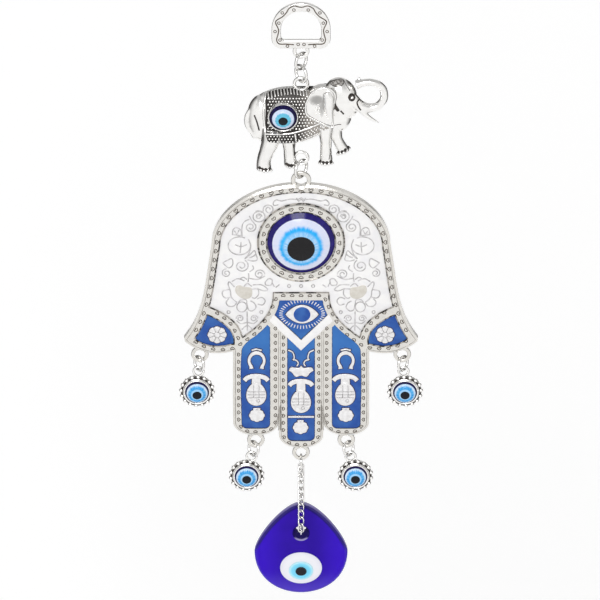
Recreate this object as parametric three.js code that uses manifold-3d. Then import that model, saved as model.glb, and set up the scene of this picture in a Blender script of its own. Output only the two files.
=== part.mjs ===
// Hamsa charm for a car mirror: a cast hanger, a cast elephant, an enamelled hand plate with four eye
// charms, and a glass drop on a doubled curb chain, each hung on the piece above it.
// Millimetres, +Z up, the front faces -Y. The origin is the top of the hanger's opening, where the
// mirror's cord bears.
import * as THREE from "three";
import { mergeVertices } from "three/addons/utils/BufferGeometryUtils.js";
import Module from "manifold-3d";

const wasm = await Module();
wasm.setup();

// Clearances
const linkGap = 0.3; // between a ring and what it hangs on
const inlayGap = 0.1; // round and under an inlay, a cabochon or a layer of glass
const strandGap = 0.25; // between the chain and the glass

// Hanger
const hangerOpeningWidth = 15;
const hangerOpeningHeight = 11.8;
const hangerOpeningCorner = 1.5;
const hangerBand = 3.5;
const hangerOuterCorner = 4;
const hangerThickness = 1.8;
const hangerEdge = 0.3; // bevel along the edges of the band
const hangerEyeHole = 3.6;
const hangerEyeWall = 1.3;
const hangerEyeThickness = 1.3;
const hangerEyeDrop = 1.3; // from the lower edge of the bar to the middle of the hole

// Jump rings
const mainWire = 1.1;
const upperRingOuter = 7.6;
const elephantRingOuter = 7.6;
const hamsaRingOuter = 8;
const dangleWire = 1;
const dangleRingOuter = 6.6;
const chainRingWire = 0.9;
const chainRingOuter = 6.4;
const ringYaw = Math.atan2(0.8, 0.6); // how far a ring is turned out of the plane of the plates

// Elephant: a half-round casting with a flat back
const elephantBack = 1.2; // from the middle plane to the flat back
const elephantDepth = 5.5; // from the flat back to the front of the barrel
const elephantLoopHole = 3.8;
const elephantLoopBar = 1.2;
const elephantLoopRise = 2.2; // from the reference line of the back to the middle of the top loop
const lowerLoopDrop = 28.6; // from that line to the middle of the lower loop
const blanketRise = 0.45;
const flankBezelX = -6.7;
const flankBezelZ = -9.4;
const flankBezelWall = 0.6;
const flankBezelProud = 1.1; // from the front of the barrel to the bezel's face

// Cabochons
const smallEye = 10;
const smallEyeHeight = 2.8;
const smallEyeSeat = 1;
const palmEye = 25;
const palmEyeHeight = 4;
const palmPrint = 0.4;
const cabochonEdge = 0.5; // straight edge under the dome

// Hand plate, measured from the top of the palm
const plateThickness = 3;
const archHalfWidth = 33.6;
const archDepth = 25.9;
const archTopPull = 20.3;
const archSidePull = 12.7;
const thumbHalfSpan = 43.9;
const thumbDepth = 64.4;
const thumbFlare = 10; // how far the flare has moved out by the thumb's tip
const thumbTipHeight = 1.4;
const thumbBelly = 5.2;
const thumbTipLean = 0.3;
const thumbHeel = 5.5; // from the thumb's tip down to where its lower edge meets the fingers
const flareUpper = { out: 0.27, down: 0.45 }; // pulls of the side's curve, in shares of its run
const flareLower = { out: 0.79, up: 0.29 };
const fingerOuter = 25.6;
const fingerSplit = 8.4;
const fingerLength = 35.5;
const middleOverhang = 5.3; // how far the middle finger is the longer one
const fingerEndRise = 5.6;
const palmRim = 3;
const thumbRim = 3.2;
const fingerRim = 3.2;
const bandWidth = 2.5;
const roofWidth = 3.2;
const fingerPanelCorner = 2;
const cellWall = 0.4; // between two colours of enamel
const cellDepth = 1;
const cutOver = 1; // how far a cut runs past what it cuts
const enamelThickness = 0.6;
const roofOverhang = 2; // of the roof over the middle panel, past the middle finger
const roofGap = 5.1; // from the palm's bezel to the roof
const bandFootInset = 3.6;
const bandFootRise = 6;
const bandUpper = { out: 0, down: 0.35 }; // pulls of the band's curve, in shares of its run
const bandLower = { out: 0.21, down: 0.63 };
const thumbFrameHeight = 14.5;
const thumbFrameFootPull = { out: 1, up: 6.5 };
const thumbFrameTopPull = { in: 8.3, down: 3 };
const eyePanelHeight = 19.9;
const chevronHeight = 5.7;
const chevronSlope = 1.05;
const palmBezelWidth = 3.5;
const palmBezelRise = 0.6;
const palmEyeDepth = 23.9;

// Eyelets on the plate, thinner than the plate
const eyeletThickness = 1.3;
const topEyeHole = 4.4;
const topEyeWall = 1.6;
const topEyeDrop = 1.4; // from the middle of the hole to the top of the palm
const dangleEyeHole = 3.8;
const dangleEyeWall = 1.4;
const dangleEyeDrop = 2.2; // from the plate's edge to the middle of the hole
const thumbEyeInset = 5.9; // from the thumb's tip

// Eye charms
const charmRim = 1; // from the edge of the cabochon to the middle of the beads
const charmBead = 1.6;
const charmBeads = 16;
const charmThickness = 2.6;
const charmLoopHole = 2.8;
const charmLoopBar = 0.9;
const thumbSplay = 4; // degrees
const fingerSplay = 13;

// Curb chain, doubled: it goes down in front of the glass, through its hole and up behind it
const linkWire = 0.6;
const linkWidth = 2.6;
const linkPitch = 2.9;
const chainSlack = 0.15; // between two links
const chainLevels = 9;
const strandSpacing = 1.9; // between the two strands on the chain ring

// Glass drop, measured from the middle of its hole
const dropThickness = 4.8;
const dropRound = 1.9;
const dropHole = 5.6;
const dropTop = 11.8;
const dropBottom = 26;
const dropHalfWidth = 17.6;
const dropWaist = 8.6; // from the hole down to the widest place
const dropTopPull = 6.5;
const dropShoulderPull = 5.3;
const dropHipPull = 10.9;
const dropBasePull = 9.5;
const dropEyeDrop = 14.6;
const dropPupilDrop = 0.9; // the inner layers sit this much lower than the white one
const dropWhiteWidth = 15.8;
const dropWhiteHeight = 13.2;
const dropBlueWidth = 9.2;
const dropBlueHeight = 7.6;
const dropPupilWidth = 4.2;
const dropPupilHeight = 3.6;
const dropLayer = 0.5;

// Facets
const ringSteps = 16;
const wireSides = 8;
const linkSteps = 12;
const linkSides = 5;
const circleSteps = 28;
const eyeletSteps = 16;
const curveSteps = 10;
const shortCurveSteps = 7;
const cornerSteps = 3;
const domeRings = 3;
const farAway = 200; // past every outline

const finishes = {
  silver: new THREE.MeshStandardMaterial({ color: 0xd6d4ce, roughness: 0.22, metalness: 1 }),
  antique: new THREE.MeshStandardMaterial({ color: 0xc4c1ba, roughness: 0.28, metalness: 1 }),
  white: new THREE.MeshStandardMaterial({ color: 0xf1f0f4, roughness: 0.2, metalness: 0 }),
  blue: new THREE.MeshStandardMaterial({ color: 0x2f57ad, roughness: 0.15, metalness: 0 }),
  eye: new THREE.MeshStandardMaterial({ color: 0x4fb6ee, roughness: 0.05, metalness: 0 }),
  dome: new THREE.MeshStandardMaterial({ color: 0xf4f8ff, roughness: 0.02, metalness: 0 }),
  cobalt: new THREE.MeshStandardMaterial({ color: 0x2a12a8, roughness: 0.05, metalness: 0 }),
  paleBlue: new THREE.MeshStandardMaterial({ color: 0x8fdcf8, roughness: 0.1, metalness: 0 }),
  black: new THREE.MeshStandardMaterial({ color: 0x1c1c20, roughness: 0.1, metalness: 0 }),
};

// Solids and meshes

function solidOf(geometry) {
  const bare = geometry.clone();
  bare.deleteAttribute("normal");
  bare.deleteAttribute("uv");
  const merged = mergeVertices(bare, 1e-4);
  return new wasm.Manifold(
    new wasm.Mesh({
      numProp: 3,
      vertProperties: merged.attributes.position.array,
      triVerts: new Uint32Array(merged.index.array),
    }),
  );
}

function geometryOf(solid) {
  const data = solid.getMesh();
  const geometry = new THREE.BufferGeometry();
  geometry.setAttribute("position", new THREE.BufferAttribute(data.vertProperties, 3));
  geometry.setIndex(new THREE.BufferAttribute(data.triVerts, 1));
  geometry.computeVertexNormals();
  return geometry;
}

function piece(parent, name, geometry, finish, x = 0, y = 0, z = 0) {
  const mesh = new THREE.Mesh(geometry, finish);
  mesh.name = name;
  mesh.position.set(x, y, z);
  parent.add(mesh);
  return mesh;
}

function hang(parent, name, x, y, z) {
  const group = new THREE.Group();
  group.name = name;
  group.position.set(x, y, z);
  parent.add(group);
  return group;
}

// Outlines: points are [x, z] in the plane of the plates

function cubic(a, b, c, d, steps) {
  const curve = new THREE.CubicBezierCurve(
    new THREE.Vector2(...a),
    new THREE.Vector2(...b),
    new THREE.Vector2(...c),
    new THREE.Vector2(...d),
  );
  return curve.getPoints(steps).map((p) => [p.x, p.y]);
}

function ellipsePoints(x, z, halfWidth, halfHeight, from, to, steps) {
  return Array.from({ length: steps + 1 }, (_, i) => {
    const angle = from + ((to - from) * i) / steps;
    return [x + halfWidth * Math.cos(angle), z + halfHeight * Math.sin(angle)];
  });
}

function circlePoints(x, z, radius, steps = circleSteps) {
  return ellipsePoints(x, z, radius, radius, 0, 2 * Math.PI, steps).slice(0, -1);
}

function mirrored(points) {
  return points.map(([x, z]) => [-x, z]);
}

// The right half of an outline, from the top to the bottom, closed by its mirror image
function bothHalves(half) {
  const left = mirrored(half).reverse();
  return tidy([...half, ...left]);
}

function tidy(points) {
  return points.filter(([x, z], i) => {
    const [px, pz] = points[(i + points.length - 1) % points.length];
    return Math.hypot(x - px, z - pz) > 1e-3;
  });
}

function signedArea(points) {
  return points.reduce((sum, [x, z], i) => {
    const [nx, nz] = points[(i + 1) % points.length];
    return sum + (x * nz - nx * z) / 2;
  }, 0);
}

// Where two edges meet, once both have moved
function corner(before, after) {
  const cross = before.along[0] * after.along[1] - before.along[1] * after.along[0];
  if (Math.abs(cross) < 1e-6) {
    return after.from;
  }
  const gap = [after.from[0] - before.from[0], after.from[1] - before.from[1]];
  const reach = (gap[0] * after.along[1] - gap[1] * after.along[0]) / cross;
  return [before.from[0] + reach * before.along[0], before.from[1] + reach * before.along[1]];
}

// Each edge moved inwards by the distance, with sharp corners. An edge that is used up is dropped.
function inset(points, distance) {
  const turn = Math.sign(signedArea(points));
  const edges = points.map(([x, z], i) => {
    const [nx, nz] = points[(i + 1) % points.length];
    const length = Math.hypot(nx - x, nz - z);
    const along = [(nx - x) / length, (nz - z) / length];
    return { from: [x - turn * distance * along[1], z + turn * distance * along[0]], along };
  });
  while (edges.length > 3) {
    const corners = edges.map((edge, i) => corner(edges[(i + edges.length - 1) % edges.length], edge));
    const lengths = edges.map(({ along }, i) => {
      const next = corners[(i + 1) % edges.length];
      return (next[0] - corners[i][0]) * along[0] + (next[1] - corners[i][1]) * along[1];
    });
    const shortest = Math.min(...lengths);
    if (shortest > 0) {
      return corners;
    }
    edges.splice(lengths.indexOf(shortest), 1);
  }
  throw new Error("the outline is too narrow for its rim");
}

// A flat piece with this outline, from its front face to its back face
function plate(points, front, back, holes = [], bevel = 0, bevelSteps = 2) {
  const turned = signedArea(points) > 0 ? points : [...points].reverse();
  const shape = new THREE.Shape(turned.map((p) => new THREE.Vector2(...p)));
  shape.holes = holes.map((hole) => new THREE.Path(hole.map((p) => new THREE.Vector2(...p))));
  const geometry = new THREE.ExtrudeGeometry(shape, {
    depth: back - front - 2 * bevel,
    bevelEnabled: bevel > 0,
    bevelThickness: bevel,
    bevelSize: bevel,
    bevelOffset: -bevel,
    bevelSegments: bevelSteps,
  });
  geometry.rotateX(Math.PI / 2);
  geometry.translate(0, back - bevel, 0);
  return geometry;
}

function disc(x, z, radius, front, back, steps = circleSteps) {
  return plate(circlePoints(x, z, radius, steps), front, back);
}

// A ring of round wire in the plane of the plates
function wireRing(outer, wire, steps = ringSteps, sides = wireSides) {
  const geometry = new THREE.TorusGeometry((outer - wire) / 2, wire / 2, sides, steps);
  geometry.rotateX(Math.PI / 2);
  return geometry;
}

// A cabochon with its flat base at y = 0 and its dome to the front
function cabochon(diameter, height, steps) {
  const radius = diameter / 2;
  const rise = height - cabochonEdge;
  const sphere = (radius * radius + rise * rise) / (2 * rise);
  const sweep = Math.asin(radius / sphere);
  const profile = [new THREE.Vector2(0, 0), new THREE.Vector2(radius, 0)];
  for (let i = 0; i < domeRings; i++) {
    const angle = sweep * (1 - i / domeRings);
    const level = cabochonEdge + sphere * (Math.cos(angle) - Math.cos(sweep));
    profile.push(new THREE.Vector2(sphere * Math.sin(angle), level));
  }
  profile.push(new THREE.Vector2(0, height));
  const geometry = new THREE.LatheGeometry(profile, steps);
  geometry.rotateX(Math.PI);
  return geometry;
}

function ellipsoid({ at: [x, y, z], half: [halfWidth, halfDepth, halfHeight], tilt = 0 }) {
  const geometry = new THREE.SphereGeometry(1, 14, 8);
  geometry.scale(halfWidth, halfHeight, halfDepth);
  geometry.rotateX(Math.PI / 2);
  geometry.rotateY(tilt);
  geometry.translate(x, y, z);
  return geometry;
}

const limbEndReach = 0.6; // shares of the limb's radius
const limbEndRound = 0.7;

// A round limb along a smooth curve, with its own radius at each point and rounded ends
function limb({ along, radii, steps, sides }) {
  const curve = new THREE.CatmullRomCurve3(along.map((p) => new THREE.Vector3(...p)));
  const frames = curve.computeFrenetFrames(steps, false);
  const rings = [];
  for (let i = 0; i <= steps; i++) {
    const place = (i / steps) * (radii.length - 1);
    const low = Math.min(Math.floor(place), radii.length - 2);
    const radius = THREE.MathUtils.lerp(radii[low], radii[low + 1], place - low);
    const at = curve.getPoint(i / steps);
    rings.push({ at, radius, normal: frames.normals[i], across: frames.binormals[i] });
  }
  const first = rings[0];
  const last = rings[steps];
  const capRing = (ring, outwards) => ({
    ...ring,
    at: ring.at.clone().addScaledVector(outwards, ring.radius * limbEndReach),
    radius: ring.radius * limbEndRound,
  });
  rings.unshift(capRing(first, frames.tangents[0].clone().negate()));
  rings.push(capRing(last, frames.tangents[steps]));
  const position = [];
  for (const ring of rings) {
    for (let j = 0; j < sides; j++) {
      const angle = (2 * Math.PI * j) / sides;
      const vertex = ring.at.clone();
      vertex.addScaledVector(ring.normal, ring.radius * Math.cos(angle));
      vertex.addScaledVector(ring.across, ring.radius * Math.sin(angle));
      position.push(vertex.x, vertex.y, vertex.z);
    }
  }
  const tips = [rings[0], rings[rings.length - 1]].map((ring) => {
    position.push(ring.at.x, ring.at.y, ring.at.z);
    return position.length / 3 - 1;
  });
  const index = [];
  const end = (rings.length - 1) * sides;
  for (let j = 0; j < sides; j++) {
    const next = (j + 1) % sides;
    for (let i = 0; i < end; i += sides) {
      index.push(i + j, i + next, i + sides + j);
      index.push(i + next, i + sides + next, i + sides + j);
    }
    index.push(tips[0], next, j);
    index.push(tips[1], end + j, end + next);
  }
  const geometry = new THREE.BufferGeometry();
  geometry.setAttribute("position", new THREE.Float32BufferAttribute(position, 3));
  geometry.setIndex(index);
  return geometry;
}

// Hanger

function archedOutline(halfWidth, top, bottom, corner) {
  const quarter = Math.PI / 2;
  return bothHalves([
    ...ellipsePoints(0, top - halfWidth, halfWidth, halfWidth, quarter, 0, curveSteps),
    ...ellipsePoints(halfWidth - corner, bottom + corner, corner, corner, 0, -quarter, cornerSteps),
  ]);
}

const hangerBottom = -hangerOpeningHeight - hangerBand;
const hangerEyeZ = hangerBottom - hangerEyeDrop;

function hangerGeometry() {
  const half = hangerThickness / 2;
  const outside = archedOutline(
    hangerOpeningWidth / 2 + hangerBand, hangerBand, hangerBottom, hangerOuterCorner);
  const opening = archedOutline(hangerOpeningWidth / 2, 0, -hangerOpeningHeight, hangerOpeningCorner);
  const band = solidOf(plate(outside, -half, half, [opening], hangerEdge, 1));
  const eyeHalf = hangerEyeThickness / 2;
  const eye = solidOf(disc(0, hangerEyeZ, hangerEyeHole / 2 + hangerEyeWall, -eyeHalf, eyeHalf, eyeletSteps));
  const hole = solidOf(disc(0, hangerEyeZ, hangerEyeHole / 2, -2 * half, 2 * half, eyeletSteps));
  return geometryOf(band.add(eye).subtract(hole));
}

// Elephant: points are [x, y, z] from the top of the back, under the top loop

const flankBezelFace = elephantBack - elephantDepth - flankBezelProud;
const nearSide = -1.1; // the legs on the side that is seen
const farSide = 0.2;
const shoulderPlane = elephantBack - 0.4; // the middles of the front forms lie ahead of the back
const chestPlane = elephantBack - 0.6;
const headPlane = elephantBack - 0.8;

const barrel = { at: [-4.1, elephantBack, -11.1], half: [16.1, elephantDepth, 11.8] };
const elephantForms = {
  barrel,
  rump: { at: [-14.4, elephantBack, -12.2], half: [5.9, 4.6, 9.6] },
  shoulder: { at: [8, shoulderPlane, -8.6], half: [8, 5.2, 10.4] },
  chest: { at: [14.2, chestPlane, -10.6], half: [4.8, 3.8, 7] },
  head: { at: [14.8, headPlane, -2.6], half: [6, 4.6, 7.4], tilt: -0.35 },
  cheek: { at: [17, headPlane, -7.4], half: [4.6, 3.6, 4.6] },
  ear: { at: [7.2, -4.2, -5.4], half: [5.8, 1.5, 7.8], tilt: 0.15 },
  earTip: { at: [9.6, -3.7, -10.4], half: [2.8, 1.2, 4] },
};
const elephantLimbs = {
  hindLeg: {
    along: [[-11.4, nearSide, -16], [-12, nearSide, -21.5], [-13.3, nearSide, -26.5], [-13.9, nearSide, -31]],
    radii: [4.6, 3.5, 2.8, 2.9], steps: 6, sides: 9,
  },
  innerHindLeg: {
    along: [[-4.6, farSide, -19], [-4.4, farSide, -25.2], [-4, farSide, -30.2]],
    radii: [3.2, 2.2, 2.3], steps: 5, sides: 8,
  },
  foreleg: {
    along: [[9.2, nearSide, -13], [9.2, nearSide, -22], [9.4, nearSide, -28.5]],
    radii: [3.6, 2, 2.5], steps: 5, sides: 8,
  },
  liftedLeg: {
    along: [[12.6, farSide, -13.6], [13.6, farSide, -20.8], [15.8, farSide, -25.2]],
    radii: [3, 2, 2.3], steps: 5, sides: 8,
  },
  trunk: {
    along: [
      [18, -1, -3], [22.4, -0.9, -6.5], [27, -0.8, -7.2], [30.2, -0.7, -5], [31, -0.6, -1.6],
      [29.6, -0.6, 1.6], [26.2, -0.6, 3.1], [23, -0.6, 2.9], [20.9, -0.6, 2.2],
    ],
    radii: [2.9, 2.1, 1.7, 1.55, 1.5, 1.45, 1.4, 1.4, 1.6], steps: 17, sides: 8,
  },
  tusk: {
    along: [[20.4, -1.6, -6], [24.6, -1.9, -10.4], [28.8, -1.9, -13.2]],
    radii: [1.2, 0.9, 0.35], steps: 5, sides: 6,
  },
  tail: {
    along: [[-17.2, 0, -6.8], [-20, -0.2, -10.4], [-20.6, -0.4, -14.2], [-18.4, -0.6, -17.8], [-17, -0.6, -20]],
    radii: [0.9, 0.85, 0.8, 0.9, 1.1], steps: 7, sides: 6,
  },
};
const blanketOutline = [
  [-13, -1.4], [-12.9, -18.6], [-12.2, -22.2], [-2.4, -22.4], [10.6, -16.4], [6.2, -6], [4.6, 4], [-9, 4],
];

function elephantGeometry() {
  const blanketForm = { at: barrel.at, half: barrel.half.map((half) => half + blanketRise) };
  const blanketCut = plate(blanketOutline, -farAway, elephantBack);
  let body = solidOf(ellipsoid(blanketForm)).intersect(solidOf(blanketCut));
  for (const form of Object.values(elephantForms)) {
    body = body.add(solidOf(ellipsoid(form)));
  }
  for (const form of Object.values(elephantLimbs)) {
    body = body.add(solidOf(limb(form)));
  }
  const bezelRadius = smallEye / 2 + inlayGap + flankBezelWall;
  const bezel = disc(flankBezelX, flankBezelZ, bezelRadius, flankBezelFace, elephantBack);
  body = body.add(solidOf(bezel));
  const around = [[-farAway, -farAway], [farAway, -farAway], [farAway, farAway], [-farAway, farAway]];
  body = body.subtract(solidOf(plate(around, elephantBack, farAway)));
  for (const z of [elephantLoopRise, -lowerLoopDrop]) {
    const loop = wireRing(elephantLoopHole + 2 * elephantLoopBar, elephantLoopBar);
    loop.translate(0, 0, z);
    body = body.add(solidOf(loop));
  }
  const seat = disc(
    flankBezelX, flankBezelZ, smallEye / 2 + inlayGap, -farAway, flankBezelFace + smallEyeSeat);
  return geometryOf(body.subtract(solidOf(seat)));
}

// Hand plate: points are measured from the top of the palm

const palmDepth = thumbDepth + thumbHeel;
const fingerDepth = palmDepth + fingerLength;
const middleDepth = fingerDepth + middleOverhang;
const palmBezelOuter = palmEye + 2 * palmBezelWidth;
const roofDepth = palmEyeDepth + palmBezelOuter / 2 + roofGap;
const roofHalfWidth = fingerSplit + roofOverhang;
const bandFootX = fingerOuter - bandFootInset;
const bandFootDepth = palmDepth - bandFootRise;
const thumbFrameDepth = thumbDepth - thumbFrameHeight;
const eyePanelDepth = roofDepth + eyePanelHeight;
const archSide = [archHalfWidth, -archDepth];
const thumbTip = [thumbHalfSpan, -thumbDepth];
const platePlane = plateThickness / 2;
const cellFloor = cellDepth - platePlane;

function archCurve() {
  return cubic([0, 0], [archTopPull, 0], [archHalfWidth, archSidePull - archDepth], archSide, curveSteps);
}

function flareCurve() {
  const height = thumbDepth - archDepth;
  const upper = [archHalfWidth + flareUpper.out * thumbFlare, -archDepth - flareUpper.down * height];
  const lower = [thumbHalfSpan - flareLower.out * thumbFlare, flareLower.up * height - thumbDepth];
  return cubic(archSide, upper, lower, thumbTip, curveSteps);
}

// The flare from this depth down
function flareBelow(depth) {
  const curve = flareCurve();
  const first = curve.findIndex(([, z]) => z < -depth);
  const [ax, az] = curve[first - 1];
  const [bx, bz] = curve[first];
  return [[THREE.MathUtils.mapLinear(-depth, az, bz, ax, bx), -depth], ...curve.slice(first)];
}

function thumbBottomCurve() {
  const from = [thumbHalfSpan - thumbTipLean, -thumbDepth - thumbTipHeight];
  const to = [fingerOuter, -palmDepth];
  const pull = thumbBelly;
  const third = (to[0] - from[0]) / 3;
  return cubic(from, [from[0] + third, from[1] - pull], [to[0] - third, to[1] - pull / 3], to, shortCurveSteps);
}

function plateOutline() {
  const fingerHalf = (fingerOuter - fingerSplit) / 2;
  const fingerMiddle = (fingerOuter + fingerSplit) / 2;
  const outerEnd = ellipsePoints(
    fingerMiddle, fingerEndRise - fingerDepth, fingerHalf, fingerEndRise, 0, -Math.PI, curveSteps);
  const middleEnd = ellipsePoints(
    0, fingerEndRise - middleDepth, fingerSplit, fingerEndRise, 0, -Math.PI / 2, shortCurveSteps);
  return bothHalves([
    ...archCurve(), ...flareCurve(), ...thumbBottomCurve(), ...outerEnd, ...middleEnd,
  ]);
}

// The raised band from the roof over the middle panel down to the foot of each thumb: its upper edge
function bandCurve() {
  const drop = bandFootDepth - roofDepth;
  const run = bandFootX - roofHalfWidth;
  return cubic(
    [roofHalfWidth, -roofDepth],
    [roofHalfWidth + bandUpper.out * run, -roofDepth - bandUpper.down * drop],
    [roofHalfWidth + bandLower.out * run, -roofDepth - bandLower.down * drop],
    [bandFootX, -bandFootDepth],
    shortCurveSteps,
  );
}

function handFrame() {
  return bothHalves([
    [0, -roofDepth], ...bandCurve(), [fingerOuter, -palmDepth], [fingerOuter, -middleDepth], [0, -middleDepth],
  ]);
}

// The corner that the thumb's frame takes from the palm
function thumbRegion() {
  const outer = flareBelow(thumbFrameDepth);
  const start = outer[0];
  const edge = cubic(
    [bandFootX, -bandFootDepth],
    [bandFootX + thumbFrameFootPull.out, thumbFrameFootPull.up - bandFootDepth],
    [start[0] - thumbFrameTopPull.in, start[1] - thumbFrameTopPull.down],
    start,
    shortCurveSteps,
  );
  const bottom = thumbBottomCurve().slice(1);
  return tidy([...outer, ...bottom, [bandFootX, -palmDepth], ...edge.slice(0, -1)]);
}

// The palm down to the foot of the band, with room below for its rim
function palmRegion() {
  const bottom = -bandFootDepth - palmRim - cutOver;
  const side = flareCurve().filter(([, z]) => z > palmRim - thumbDepth);
  const [lastX] = side[side.length - 1];
  return bothHalves([...archCurve(), ...side, [lastX, bottom], [0, bottom]]);
}

// Each cell as a solid between two planes, drawn in by the margin on every side

function palmCell(margin, front, back) {
  let cell = solidOf(plate(inset(palmRegion(), palmRim + margin), front, back));
  const thumb = inset(thumbRegion(), -margin);
  for (const frame of [inset(handFrame(), -margin), thumb, mirrored(thumb)]) {
    cell = cell.subtract(solidOf(plate(frame, front - cutOver, back + cutOver)));
  }
  const bezel = disc(0, -palmEyeDepth, palmBezelOuter / 2 + margin, front - cutOver, back + cutOver);
  return cell.subtract(solidOf(bezel));
}

function thumbCell(margin, front, back, side) {
  const panel = inset(thumbRegion(), thumbRim + margin);
  return solidOf(plate(side < 0 ? mirrored(panel) : panel, front, back));
}

function insideFrame(margin, front, back) {
  const roof = -roofDepth - roofWidth - margin;
  const foot = -middleDepth;
  const below = [[-fingerOuter, foot], [fingerOuter, foot], [fingerOuter, roof], [-fingerOuter, roof]];
  const inside = solidOf(plate(inset(handFrame(), bandWidth + margin), front, back));
  return inside.intersect(solidOf(plate(below, front - cutOver, back + cutOver)));
}

// A region above a V whose tip lies at this depth
function aboveVee(depth, front, back) {
  const reach = 2 * fingerOuter;
  const rise = reach * chevronSlope - depth;
  return solidOf(plate([[0, -depth], [reach, rise], [-reach, rise]], front, back));
}

const veeStretch = Math.hypot(1, chevronSlope);

function eyePanelCell(margin, front, back) {
  const vee = aboveVee(eyePanelDepth - margin * veeStretch, front, back);
  return insideFrame(margin, front, back).intersect(vee);
}

function chevronCell(margin, front, back) {
  const upper = eyePanelDepth + (cellWall + margin) * veeStretch;
  const lower = eyePanelDepth + (cellWall - margin) * veeStretch + chevronHeight;
  const strip = insideFrame(margin, front, back).intersect(aboveVee(lower, front, back));
  return strip.subtract(aboveVee(upper, front - cutOver, back + cutOver));
}

function fingerCell(margin, front, back, from, to, depth) {
  const corner = fingerPanelCorner - margin;
  const left = from + fingerRim + margin;
  const right = to - fingerRim - margin;
  const bottom = fingerRim + margin - depth;
  const panel = [
    [left, 0],
    ...ellipsePoints(left + corner, bottom + corner, corner, corner, Math.PI, 1.5 * Math.PI, cornerSteps),
    ...ellipsePoints(right - corner, bottom + corner, corner, corner, 1.5 * Math.PI, 2 * Math.PI, cornerSteps),
    [right, 0],
  ];
  const lower = eyePanelDepth + (2 * cellWall + margin) * veeStretch + chevronHeight;
  const cell = solidOf(plate(panel, front, back)).intersect(insideFrame(margin, front, back));
  return cell.subtract(aboveVee(lower, front - cutOver, back + cutOver));
}

const cells = {
  palm_enamel: { solid: palmCell, finish: finishes.white },
  thumb_enamel_left: { solid: (...at) => thumbCell(...at, -1), finish: finishes.blue },
  thumb_enamel_right: { solid: (...at) => thumbCell(...at, 1), finish: finishes.blue },
  eye_panel_enamel: { solid: eyePanelCell, finish: finishes.blue },
  chevron_enamel: { solid: chevronCell, finish: finishes.white },
  finger_enamel_left: {
    solid: (...at) => fingerCell(...at, -fingerOuter, -fingerSplit, fingerDepth),
    finish: finishes.blue,
  },
  finger_enamel_middle: {
    solid: (...at) => fingerCell(...at, -fingerSplit, fingerSplit, middleDepth),
    finish: finishes.blue,
  },
  finger_enamel_right: {
    solid: (...at) => fingerCell(...at, fingerSplit, fingerOuter, fingerDepth),
    finish: finishes.blue,
  },
};

// Middles of the eyelets on the lower edge
function edgeDepthAt(curve, x) {
  const after = curve.findIndex((p) => p[0] < x);
  const [ax, az] = curve[after - 1];
  const [bx, bz] = curve[after];
  return THREE.MathUtils.mapLinear(x, ax, bx, az, bz);
}

const thumbEyeX = thumbHalfSpan - thumbEyeInset;
const fingerEyeX = (fingerOuter + fingerSplit) / 2;
const fingerEyeZ = -fingerDepth - dangleEyeDrop;
const thumbEyeZ = edgeDepthAt(thumbBottomCurve(), thumbEyeX) - dangleEyeDrop;
const middleEyeZ = -middleDepth - dangleEyeDrop;
const dangles = {
  left_thumb: { x: -thumbEyeX, z: thumbEyeZ, splay: thumbSplay },
  left_finger: { x: -fingerEyeX, z: fingerEyeZ, splay: fingerSplay },
  right_finger: { x: fingerEyeX, z: fingerEyeZ, splay: -fingerSplay },
  right_thumb: { x: thumbEyeX, z: thumbEyeZ, splay: -thumbSplay },
};

function hamsaPlateGeometry() {
  let body = solidOf(plate(plateOutline(), -platePlane, platePlane));
  const bezel = disc(0, -palmEyeDepth, palmBezelOuter / 2, -platePlane - palmBezelRise, platePlane);
  body = body.add(solidOf(bezel));
  for (const { solid } of Object.values(cells)) {
    body = body.subtract(solid(0, -plateThickness, cellFloor));
  }
  const seat = disc(0, -palmEyeDepth, palmEye / 2 + inlayGap, -2 * plateThickness, cellFloor);
  body = body.subtract(solidOf(seat));
  const half = eyeletThickness / 2;
  const eyelets = [
    { x: 0, z: topEyeDrop, hole: topEyeHole, wall: topEyeWall },
    { x: 0, z: middleEyeZ, hole: dangleEyeHole, wall: dangleEyeWall },
    ...Object.values(dangles).map(({ x, z }) => ({ x, z, hole: dangleEyeHole, wall: dangleEyeWall })),
  ];
  for (const { x, z, hole, wall } of eyelets) {
    body = body.add(solidOf(disc(x, z, hole / 2 + wall, -half, half, eyeletSteps)));
    body = body.subtract(solidOf(disc(x, z, hole / 2, -plateThickness, plateThickness, eyeletSteps)));
  }
  return geometryOf(body);
}

// Eye charm: a disc with a beaded edge, a seat for its cabochon and a loop on top, measured from the
// middle of the loop
const charmBeadRing = smallEye + 2 * charmRim;
const charmOuter = charmBeadRing + charmBead;
const charmLoopRise = charmOuter / 2 + charmLoopHole / 2;

function charmGeometry() {
  const half = charmThickness / 2;
  const stepsPerBead = 3;
  const outline = [];
  for (let i = 0; i < charmBeads * stepsPerBead; i++) {
    const angle = (2 * Math.PI * i) / (charmBeads * stepsPerBead);
    const lobe = Math.abs(Math.cos((charmBeads * angle) / 2));
    const radius = charmBeadRing / 2 + (charmBead / 2) * lobe;
    outline.push([radius * Math.cos(angle), radius * Math.sin(angle) - charmLoopRise]);
  }
  const loop = wireRing(charmLoopHole + 2 * charmLoopBar, charmLoopBar, 14, 6);
  const seat = disc(0, -charmLoopRise, smallEye / 2 + inlayGap, -2 * half, smallEyeSeat - half, eyeletSteps);
  return geometryOf(solidOf(plate(outline, -half, half)).add(solidOf(loop)).subtract(solidOf(seat)));
}

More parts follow.
